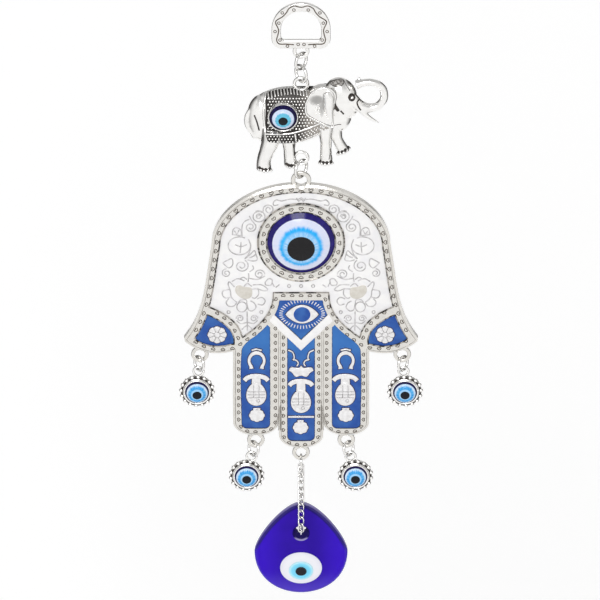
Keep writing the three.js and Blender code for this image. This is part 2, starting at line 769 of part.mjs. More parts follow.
// Curb link along Z: a flat oval of wire whose plane turns from one end to the other
class LinkCurve extends THREE.Curve {
  constructor(topTurn, bottomTurn) {
    super();
    this.topTurn = topTurn;
    this.bottomTurn = bottomTurn;
  }

  getPoint(t, target = new THREE.Vector3()) {
    const halfWidth = (linkWidth - linkWire) / 2;
    const halfLength = (linkPitch + linkWire + chainSlack) / 2;
    const straight = halfLength - halfWidth;
    const angle = 2 * Math.PI * t;
    const height = straight * Math.sign(Math.sin(angle)) + halfWidth * Math.sin(angle);
    const across = halfWidth * Math.cos(angle);
    const turn = THREE.MathUtils.mapLinear(height, halfLength, -halfLength, this.topTurn, this.bottomTurn);
    return target.set(across * Math.cos(turn), across * Math.sin(turn), height);
  }
}

function linkGeometry(topTurn, bottomTurn) {
  return new THREE.TubeGeometry(
    new LinkCurve(topTurn, bottomTurn), linkSteps, linkWire / 2, linkSides, true);
}

// Glass drop, measured from the middle of its hole
function dropGeometry() {
  const waist = [dropHalfWidth, -dropWaist];
  const outline = bothHalves([
    ...cubic(
      [0, dropTop], [dropTopPull, dropTop], [dropHalfWidth, dropShoulderPull - dropWaist], waist, curveSteps),
    ...cubic(
      waist, [dropHalfWidth, -dropHipPull - dropWaist], [dropBasePull, -dropBottom], [0, -dropBottom],
      curveSteps),
  ]);
  const half = dropThickness / 2;
  return plate(outline, -half, half, [circlePoints(0, 0, dropHole / 2, eyeletSteps)], dropRound, 2);
}

function eyeLayer(width, height, front, back) {
  const points = ellipsePoints(0, 0, width / 2, height / 2, 0, 2 * Math.PI, circleSteps).slice(0, -1);
  return plate(points, front, back);
}

// Assembly: each group stands at the point about which what it holds swings

const charm = new THREE.Group();
piece(charm, "hanger", hangerGeometry(), finishes.silver);

function addRing(parent, name, outer, wire, topWireZ, yaw) {
  const middle = topWireZ - (outer - wire) / 2;
  const ring = piece(parent, name, wireRing(outer, wire), finishes.silver, 0, 0, middle);
  ring.rotation.z = yaw;
  return middle - (outer - wire) / 2;
}

// The wire's middle when a ring hangs in a hole, measured from the middle of the hole
function wireInHole(hole, wire) {
  return linkGap + wire / 2 - hole / 2;
}

const upperSwing = hang(charm, "upper_ring_swing", 0, 0, hangerEyeZ);
const upperBottom = addRing(
  upperSwing, "upper_ring", upperRingOuter, mainWire, wireInHole(hangerEyeHole, mainWire), ringYaw);

const elephantRingSwing = hang(upperSwing, "elephant_ring_swing", 0, 0, upperBottom);
const elephantRingBottom = addRing(
  elephantRingSwing, "elephant_ring", elephantRingOuter, mainWire, mainWire + linkGap, -ringYaw);

const elephantSwing = hang(elephantRingSwing, "elephant_swing", 0, 0, elephantRingBottom);
const elephantTop = mainWire / 2 + linkGap - elephantLoopHole / 2 - elephantLoopRise;
piece(elephantSwing, "elephant_body", elephantGeometry(), finishes.antique, 0, 0, elephantTop);
piece(
  elephantSwing, "elephant_eye", cabochon(smallEye, smallEyeHeight, 16), finishes.eye,
  flankBezelX, flankBezelFace + smallEyeSeat - inlayGap, elephantTop + flankBezelZ);

const hamsaRingSwing = hang(elephantSwing, "hamsa_ring_swing", 0, 0, elephantTop - lowerLoopDrop);
const hamsaRingBottom = addRing(
  hamsaRingSwing, "hamsa_ring", hamsaRingOuter, mainWire, wireInHole(elephantLoopHole, mainWire), ringYaw);

const hamsaSwing = hang(hamsaRingSwing, "hamsa_swing", 0, 0, hamsaRingBottom);
const palmTop = mainWire / 2 + linkGap - topEyeHole / 2 - topEyeDrop;
piece(hamsaSwing, "hamsa_plate", hamsaPlateGeometry(), finishes.silver, 0, 0, palmTop);
const enamelBack = cellFloor - inlayGap;
for (const [name, { solid, finish }] of Object.entries(cells)) {
  const inlay = geometryOf(solid(inlayGap, enamelBack - enamelThickness, enamelBack));
  piece(hamsaSwing, name, inlay, finish, 0, 0, palmTop);
}
const printBack = cellFloor - inlayGap;
const print = disc(0, -palmEyeDepth, palmEye / 2, printBack - palmPrint, printBack);
piece(hamsaSwing, "palm_eye_print", print, finishes.eye, 0, 0, palmTop);
piece(
  hamsaSwing, "palm_eye_dome", cabochon(palmEye, palmEyeHeight, circleSteps), finishes.dome,
  0, printBack - palmPrint - inlayGap, palmTop - palmEyeDepth);

for (const [place, { x, z, splay }] of Object.entries(dangles)) {
  const ringSwing = hang(hamsaSwing, `${place}_ring_swing`, x, 0, palmTop + z);
  ringSwing.rotation.y = THREE.MathUtils.degToRad(splay);
  const bottom = addRing(
    ringSwing, `${place}_ring`, dangleRingOuter, dangleWire, wireInHole(dangleEyeHole, dangleWire),
    Math.sign(x) * ringYaw);
  const charmSwing = hang(ringSwing, `${place}_charm_swing`, 0, 0, bottom);
  const loopZ = dangleWire / 2 + linkGap - charmLoopHole / 2;
  piece(charmSwing, `${place}_charm`, charmGeometry(), finishes.antique, 0, 0, loopZ);
  piece(
    charmSwing, `${place}_eye`, cabochon(smallEye, smallEyeHeight, 16), finishes.eye,
    0, smallEyeSeat - charmThickness / 2 - inlayGap, loopZ - charmLoopRise);
}

const chainRingSwing = hang(hamsaSwing, "chain_ring_swing", 0, 0, palmTop + middleEyeZ);
const chainRingBottom = addRing(
  chainRingSwing, "chain_ring", chainRingOuter, chainRingWire, wireInHole(dangleEyeHole, chainRingWire),
  Math.PI / 2);

// The route of one strand, from the chain ring to the glass's hole: the points where links meet
const linkReach = (linkWire + chainSlack) / 2; // from such a point to the middle of a link's end wire
const quarterTurn = Math.PI / 4;
const strandHalfDepth = ((linkWidth - linkWire) / 2) * Math.sin(quarterTurn) + linkWire / 2;
const glassHalf = dropThickness / 2 + strandGap;
const slingLinks = Math.ceil((2 * (glassHalf + strandHalfDepth + linkReach)) / linkPitch);
const slingRun = slingLinks * linkPitch;
const strandBottomY = slingRun / 2 - linkReach;
const chainRingRadius = (chainRingOuter - chainRingWire) / 2;
const strandTopY = strandSpacing / 2;
const ringRise = chainRingRadius - Math.sqrt(chainRingRadius ** 2 - strandTopY ** 2);
const strandTopZ = ringRise + (chainRingWire + linkWire) / 2 + linkGap - linkReach;
const dropZ = linkWidth / 2 + strandGap - dropHole / 2; // from the sling to the middle of the glass's hole
const levelsOverGlass = Math.ceil((dropZ + dropTop + strandGap) / linkPitch);
const slantedLevels = chainLevels - levelsOverGlass;
const slant = Math.asin((strandBottomY - strandTopY) / (slantedLevels * linkPitch));

function addLink(parent, name, topTurn, bottomTurn, y, z, tilt) {
  const link = piece(parent, name, linkGeometry(topTurn, bottomTurn), finishes.silver, 0, y, z);
  link.rotation.x = tilt;
}

let level = chainRingSwing;
let levelZ = chainRingBottom + strandTopZ;
let strandY = strandTopY;
for (let i = 1; i <= chainLevels; i++) {
  level = hang(level, `chain_level_${i}_swing`, 0, 0, levelZ);
  const tilt = i > slantedLevels ? 0 : slant;
  const topTurn = i === 1 ? 0 : -quarterTurn;
  const bottomTurn = i === chainLevels ? 0 : quarterTurn;
  const middleY = strandY + (linkPitch / 2) * Math.sin(tilt);
  const middleZ = (-linkPitch / 2) * Math.cos(tilt);
  addLink(level, `chain_front_${i}`, topTurn, bottomTurn, -middleY, middleZ, -tilt);
  addLink(level, `chain_back_${i}`, -topTurn, -bottomTurn, middleY, middleZ, tilt);
  strandY = middleY + (linkPitch / 2) * Math.sin(tilt);
  levelZ = -linkPitch * Math.cos(tilt);
}

const slingSwing = hang(level, "chain_sling_swing", 0, 0, levelZ - linkReach);
for (let i = 1; i <= slingLinks; i++) {
  const topTurn = i === 1 ? 2 * quarterTurn : -quarterTurn;
  const bottomTurn = i === slingLinks ? -2 * quarterTurn : quarterTurn;
  const middle = (i - 0.5) * linkPitch - slingRun / 2;
  addLink(slingSwing, `chain_sling_${i}`, topTurn, bottomTurn, middle, 0, Math.PI / 2);
}

const dropSwing = hang(slingSwing, "glass_drop_swing", 0, 0, 0);
piece(dropSwing, "glass_drop", dropGeometry(), finishes.cobalt, 0, 0, dropZ);
const layers = [
  ["drop_eye_white", dropWhiteWidth, dropWhiteHeight, 0, finishes.white],
  ["drop_eye_blue", dropBlueWidth, dropBlueHeight, dropPupilDrop, finishes.paleBlue],
  ["drop_eye_pupil", dropPupilWidth, dropPupilHeight, dropPupilDrop, finishes.black],
];
layers.forEach(([name, width, height, lower, finish], i) => {
  const back = -dropThickness / 2 - i * dropLayer - (i + 1) * inlayGap;
  const layer = eyeLayer(width, height, back - dropLayer, back);
  piece(dropSwing, name, layer, finish, 0, 0, dropZ - dropEyeDrop - lower);
});

export default charm;
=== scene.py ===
import math

import bpy
import numpy as np
from mathutils import Matrix, Vector


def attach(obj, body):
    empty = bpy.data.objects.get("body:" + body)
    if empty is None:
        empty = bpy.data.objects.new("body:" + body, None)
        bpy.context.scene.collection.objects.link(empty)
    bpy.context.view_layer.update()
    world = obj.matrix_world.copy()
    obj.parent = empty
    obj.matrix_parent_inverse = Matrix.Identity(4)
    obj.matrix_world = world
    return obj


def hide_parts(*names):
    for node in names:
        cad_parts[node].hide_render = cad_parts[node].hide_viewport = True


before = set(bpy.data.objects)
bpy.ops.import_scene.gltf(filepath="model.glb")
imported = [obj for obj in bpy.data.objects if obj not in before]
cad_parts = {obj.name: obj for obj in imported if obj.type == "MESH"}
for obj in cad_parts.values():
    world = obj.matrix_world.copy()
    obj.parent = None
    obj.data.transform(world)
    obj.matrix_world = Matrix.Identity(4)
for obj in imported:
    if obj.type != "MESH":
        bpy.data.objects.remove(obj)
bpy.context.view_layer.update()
mm = 0.001

# Studio: the charm hangs over a white floor and is seen from a little above, through a long lens.
# One broad soft lamp lights it from the upper left. Tall cards at the sides, seen only in reflections, run
# from white in front to dark behind the charm and give the silver its contours.
view_elevation = math.radians(26.8)
view_middle = Vector((-0.4, 0, -121))
view_distance = 6750
view_from = Vector((0, -math.cos(view_elevation), math.sin(view_elevation)))
picture_middle = 300
pixel = 0.375
floor_height = -560
floor_size = 9000
floor_glow = 0.3
card_reach = 420
card_middle = 250
card_size = (900, 1100, 1)
card_fade = (-250, 260)
card_glow = 0.9
ambient = 0.5
overhead_dimming = 0.5
white = (1, 1, 1, 1)
black = (0, 0, 0, 1)


def shown_at(px, py, y):
    """The x and z of the point at this depth that shows at a pixel of the picture."""
    rise = (picture_middle - py) * pixel / math.cos(view_elevation)
    z = view_middle.z + rise - y * math.tan(view_elevation)
    return (view_middle.x + (px - picture_middle) * pixel, z)


def paint(red, green, blue):
    """A colour as a screen shows it, each part from 0 to 255, in Blender's light values."""
    parts = [part / 255 for part in (red, green, blue)]
    light = [part / 12.92 if part < 0.04 else ((part + 0.055) / 1.055) ** 2.4 for part in parts]
    return (*light, 1)


class Shade:
    """A socket in a material. Operators on it add Math nodes, and node() adds any other node."""

    def __init__(self, tree, socket=None):
        self.tree = tree
        self.socket = socket

    def node(self, kind, settings=(), inputs=(), output=0):
        made = self.tree.nodes.new(kind)
        for name, value in dict(settings).items():
            setattr(made, name, value)
        for name, value in dict(inputs).items():
            if isinstance(value, Shade):
                self.tree.links.new(value.socket, made.inputs[name])
            else:
                made.inputs[name].default_value = value
        return Shade(self.tree, made.outputs[output]) if made.outputs else None

    def math(self, operation, *values):
        return self.node("ShaderNodeMath", {"operation": operation}, dict(enumerate(values)))

    def __add__(self, other):
        return self.math("ADD", self, other)

    __radd__ = __add__

    def __sub__(self, other):
        return self.math("SUBTRACT", self, other)

    def __rsub__(self, other):
        return self.math("SUBTRACT", other, self)

    def __mul__(self, other):
        return self.math("MULTIPLY", self, other)

    __rmul__ = __mul__

    def step(self, low, high):
        """0 below low and 1 above high, smooth between."""
        return self.node(
            "ShaderNodeMapRange", {"interpolation_type": "SMOOTHSTEP"},
            {"Value": self, "From Min": low, "From Max": high})

    def mix(self, first, second):
        """The first colour where this is 0, the second where it is 1."""
        return self.node("ShaderNodeMix", {"data_type": "RGBA"}, {0: self, 6: first, 7: second}, 2)

    def ray(self, *kinds):
        """1 for rays of these kinds."""
        found = self.node("ShaderNodeLightPath", output=f"Is {kinds[0]} Ray")
        for kind in kinds[1:]:
            found = self.math("MAXIMUM", found, self.ray(kind))
        return found

    def axis(self, letter, source="Object"):
        """One coordinate of a point of the surface, in metres, or of its normal."""
        spot = self.node("ShaderNodeTexCoord", output=source)
        return self.node("ShaderNodeSeparateXYZ", inputs={0: spot}, output=letter)

    def noise(self, size, detail=3):
        """Even cloudy noise, with clouds of about this size in millimetres."""
        spot = self.node("ShaderNodeTexCoord", output="Object")
        inputs = {"Vector": spot, "Scale": 1 / (size * mm), "Detail": detail}
        return self.node("ShaderNodeTexNoise", inputs=inputs)

    def bump(self, height, distance):
        """A normal for a surface that is this much rougher, the distance in millimetres."""
        inputs = {"Height": height, "Distance": distance * mm}
        return self.node("ShaderNodeBump", inputs=inputs, output="Normal")

    def surface(self, **inputs):
        """Closes the material with a Principled shader. Underscores in the names stand for spaces."""
        named = {name.replace("_", " "): value for name, value in inputs.items()}
        shader = self.node("ShaderNodeBsdfPrincipled", inputs=named)
        self.node("ShaderNodeOutputMaterial", inputs={"Surface": shader})


def new_finish(name):
    """A new material and its empty node tree."""
    material = bpy.data.materials.new(name)
    material.use_nodes = True
    material.node_tree.nodes.clear()
    return material, Shade(material.node_tree)


bpy.ops.object.select_all(action="DESELECT")
bpy.ops.object.camera_add(
    location=(view_middle + view_distance * view_from) * mm, rotation=(math.pi / 2 - view_elevation, 0, 0))
camera = bpy.context.object
camera.data.sensor_width = 36
camera.data.lens = 1080
camera.data.clip_end = 100
camera.data.shift_y = 0.002
bpy.context.scene.camera = camera
bpy.context.scene.view_settings.view_transform = "Standard"

sun_turn = Vector((0.1, 0.86, -0.5)).to_track_quat("-Z", "Y").to_euler()
bpy.ops.object.light_add(type="SUN", location=(-1, -2, 2), rotation=sun_turn)
sun = bpy.context.object
sun.name = "soft_sun"
sun.data.angle = math.radians(24)
sun.data.energy = 1.5

world = bpy.data.worlds.new("studio")
world.use_nodes = True
world.node_tree.nodes.clear()
bpy.context.scene.world = world
around = Shade(world.node_tree)
dimmer = overhead_dimming * around.ray("Glossy") * around.axis("Z", "Generated").step(0.0, 0.75)
light = ambient + (1 - ambient) * around.ray("Glossy", "Camera", "Transmission") - dimmer
sky = around.node("ShaderNodeBackground", inputs={"Color": white, "Strength": light})
around.node("ShaderNodeOutputWorld", inputs={"Surface": sky})

bpy.ops.mesh.primitive_plane_add(size=floor_size * mm, location=(0, 0, floor_height * mm))
floor = bpy.context.object
floor.name = "floor"
bpy.ops.object.transform_apply()
floor_white, shade = new_finish("floor_white")
shade.surface(
    Base_Color=(0.95, 0.95, 0.95, 1), Roughness=0.9, Specular_IOR_Level=0.0,
    Emission_Color=shade.ray("Camera", "Glossy", "Transmission").mix(black, white),
    Emission_Strength=floor_glow)
floor.data.materials.append(floor_white)

card_grey, shade = new_finish("card_grey")
away = shade.axis("Y").step(card_fade[0] * mm, card_fade[1] * mm)
shade.surface(
    Base_Color=(0.1, 0.095, 0.09, 1), Roughness=1.0, Specular_IOR_Level=0.0,
    Emission_Color=away.mix(white, black), Emission_Strength=card_glow)
for name, side in (("card_left", -1), ("card_right", 1)):
    bpy.ops.mesh.primitive_plane_add(
        size=mm, location=Vector((side * card_reach, card_middle, view_middle.z)) * mm,
        rotation=(0, math.pi / 2, 0))
    card = bpy.context.object
    card.name = name
    card.scale = card_size
    bpy.ops.object.transform_apply()
    card.data.materials.append(card_grey)
    card.visible_camera = False
    card.visible_diffuse = False
    card.visible_transmission = False
    card.visible_shadow = False

# Hanger: a flat D-shaped loop of cast zinc, silver plated, with a small eyelet under its straight bar.
# A wavy vine and small rings run over its face as fine lines, dark with antiquing.
hanger_half = 7.5
hanger_height = 11.8
hanger_band = 3.5
hanger_thickness = 1.8
hanger_edge = 0.45
hanger_outer_corner = 4
hanger_inner_corner = 1.5
hanger_eye_z = -16.6
hanger_eye_hole = 3.6
hanger_eye_band = 1.3
vine_wire = 0.23
vine_ring = 0.52
vine_ring_wire = 0.16
eyelet_half = 0.65
eyelet_edge = 0.4
merge_gap = 0.002


def arc(x, z, half_width, half_height, start, end, steps):
    """Points of an ellipse, from one angle to another, in degrees from +X towards +Z."""
    angles = [math.radians(start + (end - start) * i / steps) for i in range(steps + 1)]
    return [(x + half_width * math.cos(a), z + half_height * math.sin(a)) for a in angles]


def circle(x, z, radius, steps=48):
    return arc(x, z, radius, radius, 0, 360, steps)[:-1]


def tidy(loop):
    """The outline without points that repeat."""
    return [p for i, p in enumerate(loop) if math.dist(p, loop[i - 1]) > 1e-3]


def both_halves(right):
    """An outline from its right half, given from the top to the bottom."""
    return tidy(right + [(-x, z) for x, z in reversed(right)])


def arched(half, top, bottom, corner):
    """An outline with a round arch on top and two rounded corners below."""
    arch = arc(0, top - half, half, half, 90, 0, 24)
    return both_halves(arch + arc(half - corner, bottom + corner, corner, corner, 0, -90, 8))


def at_depth(loop, y):
    """An outline of (x, z) as a path at a depth."""
    return [(x, y, z) for x, z in loop]


def pick(piece):
    """Makes a piece the active one and the only one that is selected."""
    bpy.ops.object.select_all(action="DESELECT")
    piece.select_set(True)
    bpy.context.view_layer.objects.active = piece


def linked(name, data):
    """A new object with this mesh or curve, picked."""
    made = bpy.data.objects.new(name, data)
    bpy.context.collection.objects.link(made)
    pick(made)
    return made


def edit(operator, **settings):
    """Runs a mesh operator on the whole of the picked piece."""
    bpy.ops.object.mode_set(mode="EDIT")
    bpy.ops.mesh.select_all(action="SELECT")
    operator(**settings)
    bpy.ops.object.mode_set(mode="OBJECT")


def clean():
    """Merges doubled points of the picked piece and turns its faces outwards."""
    edit(bpy.ops.mesh.remove_doubles, threshold=merge_gap * mm)
    edit(bpy.ops.mesh.normals_make_consistent, inside=False)


def meshed(name, curve):
    """The curve as a mesh."""
    linked(name, curve)
    bpy.ops.object.convert(target="MESH")
    clean()
    return bpy.context.object


def slab(name, loops, front, back, edge=0.0, steps=3):
    """A flat piece cut to outlines of (x, z), the outer one and its holes, with rounded edges."""
    curve = bpy.data.curves.new(name, "CURVE")
    curve.dimensions = "2D"
    curve.fill_mode = "BOTH"
    curve.extrude = ((back - front) / 2 - edge) * mm
    curve.bevel_depth = edge * mm
    curve.bevel_resolution = steps
    curve.offset = -edge * mm
    for loop in loops:
        spline = curve.splines.new("POLY")
        spline.points.add(len(loop) - 1)
        spline.use_cyclic_u = True
        for point, (x, z) in zip(spline.points, loop):
            point.co = (x * mm, z * mm, 0, 1)
    made = meshed(name, curve)
    made.rotation_euler = (math.pi / 2, 0, 0)
    made.location = (0, (front + back) / 2 * mm, 0)
    bpy.ops.object.transform_apply()
    return made


def wires(name, paths, radius, closed=False, sides=3):
    """Round wire bent along paths of (x, y, z)."""
    curve = bpy.data.curves.new(name, "CURVE")
    curve.dimensions = "3D"
    curve.bevel_depth = radius * mm
    curve.bevel_resolution = sides
    curve.use_fill_caps = not closed
    for path in paths:
        spline = curve.splines.new("POLY")
        spline.points.add(len(path) - 1)
        spline.use_cyclic_u = closed
        for point, at in zip(spline.points, path):
            point.co = (*(Vector(at) * mm), 1)
    return meshed(name, curve)


def eyelet(x, z, hole, wide):
    """A thin flat ring, this wide round its hole."""
    ring = [circle(x, z, hole / 2 + wide), circle(x, z, hole / 2)]
    return slab("eyelet", ring, -eyelet_half, eyelet_half, eyelet_edge)


def join(name, parts):
    """Several meshes as one piece."""
    pick(parts[0])
    for part in parts[1:]:
        part.select_set(True)
    if len(parts) > 1:
        bpy.ops.object.join()
    parts[0].name = name
    return parts[0]


def settle(piece, material, slot, body, *nodes, crease=40):
    """Finishes a piece: smooth shading with creases at more than this angle, its material, its body, and
    the CAD nodes that it stands for. The slot is not used."""
    if crease:
        pick(piece)
        bpy.ops.object.shade_smooth_by_angle(angle=math.radians(crease))
    piece.data.materials.clear()
    piece.data.materials.append(material)
    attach(piece, body)
    if nodes:
        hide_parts(*nodes)


def along(path, count, closed=False):
    """Evenly spaced points of a path in the plane, each with the direction of the path there."""
    ends = path[1:] + path[:1] if closed else path[1:]
    runs = [math.dist(a, b) for a, b in zip(path, ends)]
    total = sum(runs)
    spaced = []
    for i in range(count):
        left = total * (i / count if closed else i / max(count - 1, 1))
        for (ax, az), (bx, bz), run in zip(path, ends, runs):
            if left <= run + 1e-9:
                dx, dz = (bx - ax) / run, (bz - az) / run
                share = left / run
                spaced.append((ax + share * (bx - ax), az + share * (bz - az), dx, dz))
                break
            left -= run
    return spaced


def spline_through(points, steps=8):
    """A smooth path through points of any dimension."""
    smooth = []
    last = len(points) - 1
    for i in range(last):
        before, start, end, after = (Vector(points[min(max(j, 0), last)]) for j in (i - 1, i, i + 1, i + 2))
        for k in range(steps):
            t = k / steps
            smooth.append(tuple(0.5 * (
                2 * start + t * (end - before) + t * t * (2 * before - 5 * start + 4 * end - after)
                + t ** 3 * (3 * start - before - 3 * end + after))))
    return smooth + [tuple(points[-1])]


def polished(name, tint, dark, recess, gloss=0.16, grain=0.02, shaded_hollows=()):
    """Silver plating with dark antiquing left in its recesses, cast slightly uneven.

    A hollow is an oval of painted shade: (x, z, half width, half height, share).
    """
    material, shade = new_finish(name)
    occlusion = {"samples": 8, "only_local": False}
    hidden = 1 - shade.node("ShaderNodeAmbientOcclusion", occlusion, {"Distance": recess * mm}, "AO")
    clouds = shade.noise(2.2)
    patina_and_shade = (hidden + 0.5 * (clouds - 0.5)).step(0.22, 0.62)
    # Painted shade: each hollow's oval is darkened like the antiquing.
    for x, z, half_width, half_height, share in shaded_hollows:
        across = (shade.axis("X") - x * mm) * (1 / (half_width * mm))
        upwards = (shade.axis("Z") - z * mm) * (1 / (half_height * mm))
        kept = share * (1 - (across * across + upwards * upwards + 0.9 * (clouds - 0.5)).step(0.1, 1.1))
        patina_and_shade = shade.math("MAXIMUM", patina_and_shade, kept)
    tone = clouds.step(0.3, 0.75).mix(tint, tuple(0.93 * part for part in tint[:3]) + (1,))
    shade.surface(
        Base_Color=patina_and_shade.mix(tone, dark),
        Metallic=1 - 0.65 * patina_and_shade,
        Roughness=gloss + 0.14 * shade.noise(0.9) + 0.3 * patina_and_shade,
        Normal=shade.bump(shade.noise(0.7, 4), grain),
    )
    return material


def two_tone(name, clouds, low, high, first, second, **inputs):
    """A finish that changes between two colours in clouds of about this size in millimetres."""
    material, shade = new_finish(name)
    shade.surface(Base_Color=shade.noise(clouds).step(low, high).mix(first, second), **inputs)
    return material


bright_silver = polished("bright_silver", (0.9, 0.89, 0.87, 1), paint(86, 76, 66), 0.4)
antiquing, shade = new_finish("antiquing")
worn = shade.noise(0.8).step(0.38, 0.62)
shade.surface(
    Base_Color=worn.mix(paint(70, 60, 50), paint(112, 100, 88)), Metallic=0.35, Roughness=0.45 + 0.2 * worn)

hanger_bottom = -hanger_height - hanger_band
hanger_front = -hanger_thickness / 2
outside = arched(hanger_half + hanger_band, hanger_band, hanger_bottom, hanger_outer_corner)
opening = arched(hanger_half, 0, -hanger_height, hanger_inner_corner)
band = slab("hanger_band", [outside, opening], hanger_front, -hanger_front, hanger_edge)
hanger = join("hanger_cast", [band, eyelet(0, hanger_eye_z, hanger_eye_hole, hanger_eye_band)])
settle(hanger, bright_silver, "silver", "hanger", "hanger")

vine_drop = 0.5
vine_front = hanger_front + 0.03
vine_half = [
    (-0.65, 2.48), (-2.58, 2.96), (-4.52, 1.88), (-5.38, 0.31), (-6.89, -1.5), (-9.04, -2.95), (-9.47, -4.15),
    (-8.4, -6.81), (-8.61, -8.98), (-9.09, -11.15), (-8.18, -12.72), (-5.38, -12.84), (-2.69, -13.08),
]
vine_ring_spots = [
    (-2.69, 1.27), (-7, 0.07), (-8.29, -4.15), (-9.69, -7.65), (-7.86, -11.15), (-5.06, -13.68),
    (-1.08, -12.96),
]
vine = spline_through([(-x, z) for x, z in vine_half[::-1]] + vine_half, 6)
vine = at_depth([(x, z - vine_drop) for x, z in vine], vine_front)
vine_rings = []
for x, z in vine_ring_spots:
    for side in (-1, 1):
        vine_rings.append(at_depth(circle(side * x, z - vine_drop, vine_ring, 12), vine_front))
hanger_vine = join("hanger_vine", [
    wires("vine", [vine], vine_wire, sides=1),
    wires("vine_rings", vine_rings, vine_ring_wire, closed=True, sides=1),
])
settle(hanger_vine, antiquing, "antique_silver", "hanger", crease=80)

# Jump rings: round steel wire, silver plated, bent to a ring whose cut ends almost meet. One links each
# piece to the next one. Each has its outer diameter and its wire.
jump_rings = {
    "upper_ring": (7.6, 1.1), "elephant_ring": (7.6, 1.1), "hamsa_ring": (8, 1.1), "chain_ring": (6.4, 0.9),
    "left_thumb_ring": (6.6, 1), "left_finger_ring": (6.6, 1),
    "right_finger_ring": (6.6, 1), "right_thumb_ring": (6.6, 1),
}
ring_cut = 3
ring_cut_at = 40
wire_silver = polished("wire_silver", (0.88, 0.87, 0.85, 1), paint(86, 76, 66), 0.5, gloss=0.1, grain=0.008)

for node, (outer, wire) in jump_rings.items():
    points = np.array([vertex.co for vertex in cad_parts[node].data.vertices]) / mm
    middle = points.mean(axis=0)
    across = Vector(np.linalg.svd(points - middle, full_matrices=False)[2][2])
    sideways = across.cross(Vector((0, 0, 1))).normalized()
    upwards = sideways.cross(across).normalized()
    radius = (outer - wire) / 2
    bent = [
        Vector(middle) + x * sideways + z * upwards
        for x, z in arc(0, 0, radius, radius, ring_cut_at + ring_cut, ring_cut_at + 360 - ring_cut, 72)
    ]
    ring = wires(f"{node}_wire", [[tuple(p) for p in bent]], wire / 2, sides=6)
    settle(ring, wire_silver, "silver", node, node)

# Elephant: a half-round casting with a flat back, silver plated and antiqued. Body, head, legs, trunk and
# tail are one casting, so their forms are melted together and then smoothed. The ear lies on it.
elephant_line = -32.4
elephant_back = 1.2
near = -1.1
far = 0.2
bezel_x = -6.7
bezel_z = -9.4
bezel_face = -5.4
small_eye = 10

elephant_forms = {
    "barrel": ((-4.1, elephant_back, -11.1), (16.1, 5.5, 11.8), 0),
    "rump": ((-14.4, elephant_back, -12.2), (5.9, 4.6, 9.6), 0),
    "shoulder": ((8, 0.8, -8.6), (8, 5.0, 10.4), 0),
    "chest": ((14.2, 0.6, -10.6), (4.8, 3.8, 7), 0),
    "head": ((14.8, 0.4, -2.6), (6, 4.6, 7.4), -20),
    "cheek": ((17, 0.4, -7.4), (4.6, 3.6, 4.6), 0),
}
elephant_limbs = {
    "hind_leg": [
        (-10.6, near, -15, 4.6), (-11.4, near, -21, 3.5), (-12.8, near, -25.4, 2.9),
        (-13.9, near, -29.4, 2.7), (-13.9, near, -32.6, 2.9),
    ],
    "inner_hind_leg": [(-4.6, far, -19, 3.2), (-4.4, far, -25.2, 2.2), (-4, far, -31.4, 2.4)],
    "foreleg": [(9.2, near, -13, 3.6), (9.2, near, -22, 2), (9.4, near, -29.9, 2.5)],
    "lifted_leg": [(12.6, far, -13.6, 3), (13.6, far, -20.8, 2), (16.2, far, -26.2, 2.3)],
    "trunk": [
        (18, -1, -3, 2.9), (22.4, -0.9, -6.5, 2.1), (27, -0.8, -7.2, 1.7), (30.2, -0.7, -5, 1.55),
        (31, -0.6, -1.6, 1.5), (29.6, -0.6, 1.6, 1.45), (26.2, -0.6, 3.1, 1.4), (23, -0.6, 2.9, 1.4),
        (20.6, -0.6, 2.2, 1.9),
    ],
    "trunk_finger": [(22.2, -0.6, 3.0, 0.9), (21.6, -0.5, 4.4, 0.55), (21.5, -0.4, 5.3, 0.25)],
    "tusk": [(20.4, -1.6, -6, 1.2), (24.6, -1.9, -10.2, 0.9), (29, -1.9, -13.1, 0.3)],
    "tail": [
        (-17.2, 0, -6.8, 0.9), (-20, -0.2, -10.4, 0.85), (-20.4, -0.4, -14.2, 0.75),
        (-18.4, -0.6, -17.8, 0.8), (-17, -0.6, -19.6, 1.2),
    ],
}


def limb(name, path):
    """A round limb through points of (x, y, z, radius)."""
    curve = bpy.data.curves.new(name, "CURVE")
    curve.dimensions = "3D"
    curve.bevel_depth = mm
    curve.bevel_resolution = 6
    curve.use_fill_caps = True
    spline = curve.splines.new("BEZIER")
    spline.bezier_points.add(len(path) - 1)
    for point, (x, y, z, radius) in zip(spline.bezier_points, path):
        point.co = Vector((x, y, z + elephant_line)) * mm
        point.radius = radius
        point.handle_left_type = "AUTO"
        point.handle_right_type = "AUTO"
    return meshed(name, curve)


def apply_modifier(piece, kind, **settings):
    """Adds a modifier to a piece and applies it."""
    modifier = piece.modifiers.new(kind.lower(), kind)
    for name, value in settings.items():
        setattr(modifier, name, value)
    pick(piece)
    bpy.ops.object.modifier_apply(modifier=modifier.name)


def melt(piece, voxel):
    """Makes one smooth skin of a piece's overlapping forms."""
    apply_modifier(piece, "REMESH", mode="VOXEL", voxel_size=voxel * mm)
    apply_modifier(piece, "SMOOTH", factor=0.5, iterations=6)


parts = [limb(name, path) for name, path in elephant_limbs.items()]
for (x, y, z), half, tilt in elephant_forms.values():
    bpy.ops.mesh.primitive_uv_sphere_add(
        segments=48, ring_count=32, radius=mm, location=(x * mm, y * mm, (z + elephant_line) * mm),
        rotation=(0, math.radians(tilt), 0), scale=half)
    bpy.ops.object.transform_apply()
    parts.append(bpy.context.object)
elephant = join("elephant_cast", parts)
melt(elephant, 0.26)
edit(
    bpy.ops.mesh.bisect, plane_co=(0, elephant_back * mm, 0), plane_no=(0, 1, 0), use_fill=True,
    clear_outer=True)
antique_silver = polished("antique_silver", (0.94, 0.93, 0.91, 1), paint(40, 35, 31), 0.9, gloss=0.12)
settle(elephant, antique_silver, "antique_silver", "elephant", "elephant_body", crease=60)


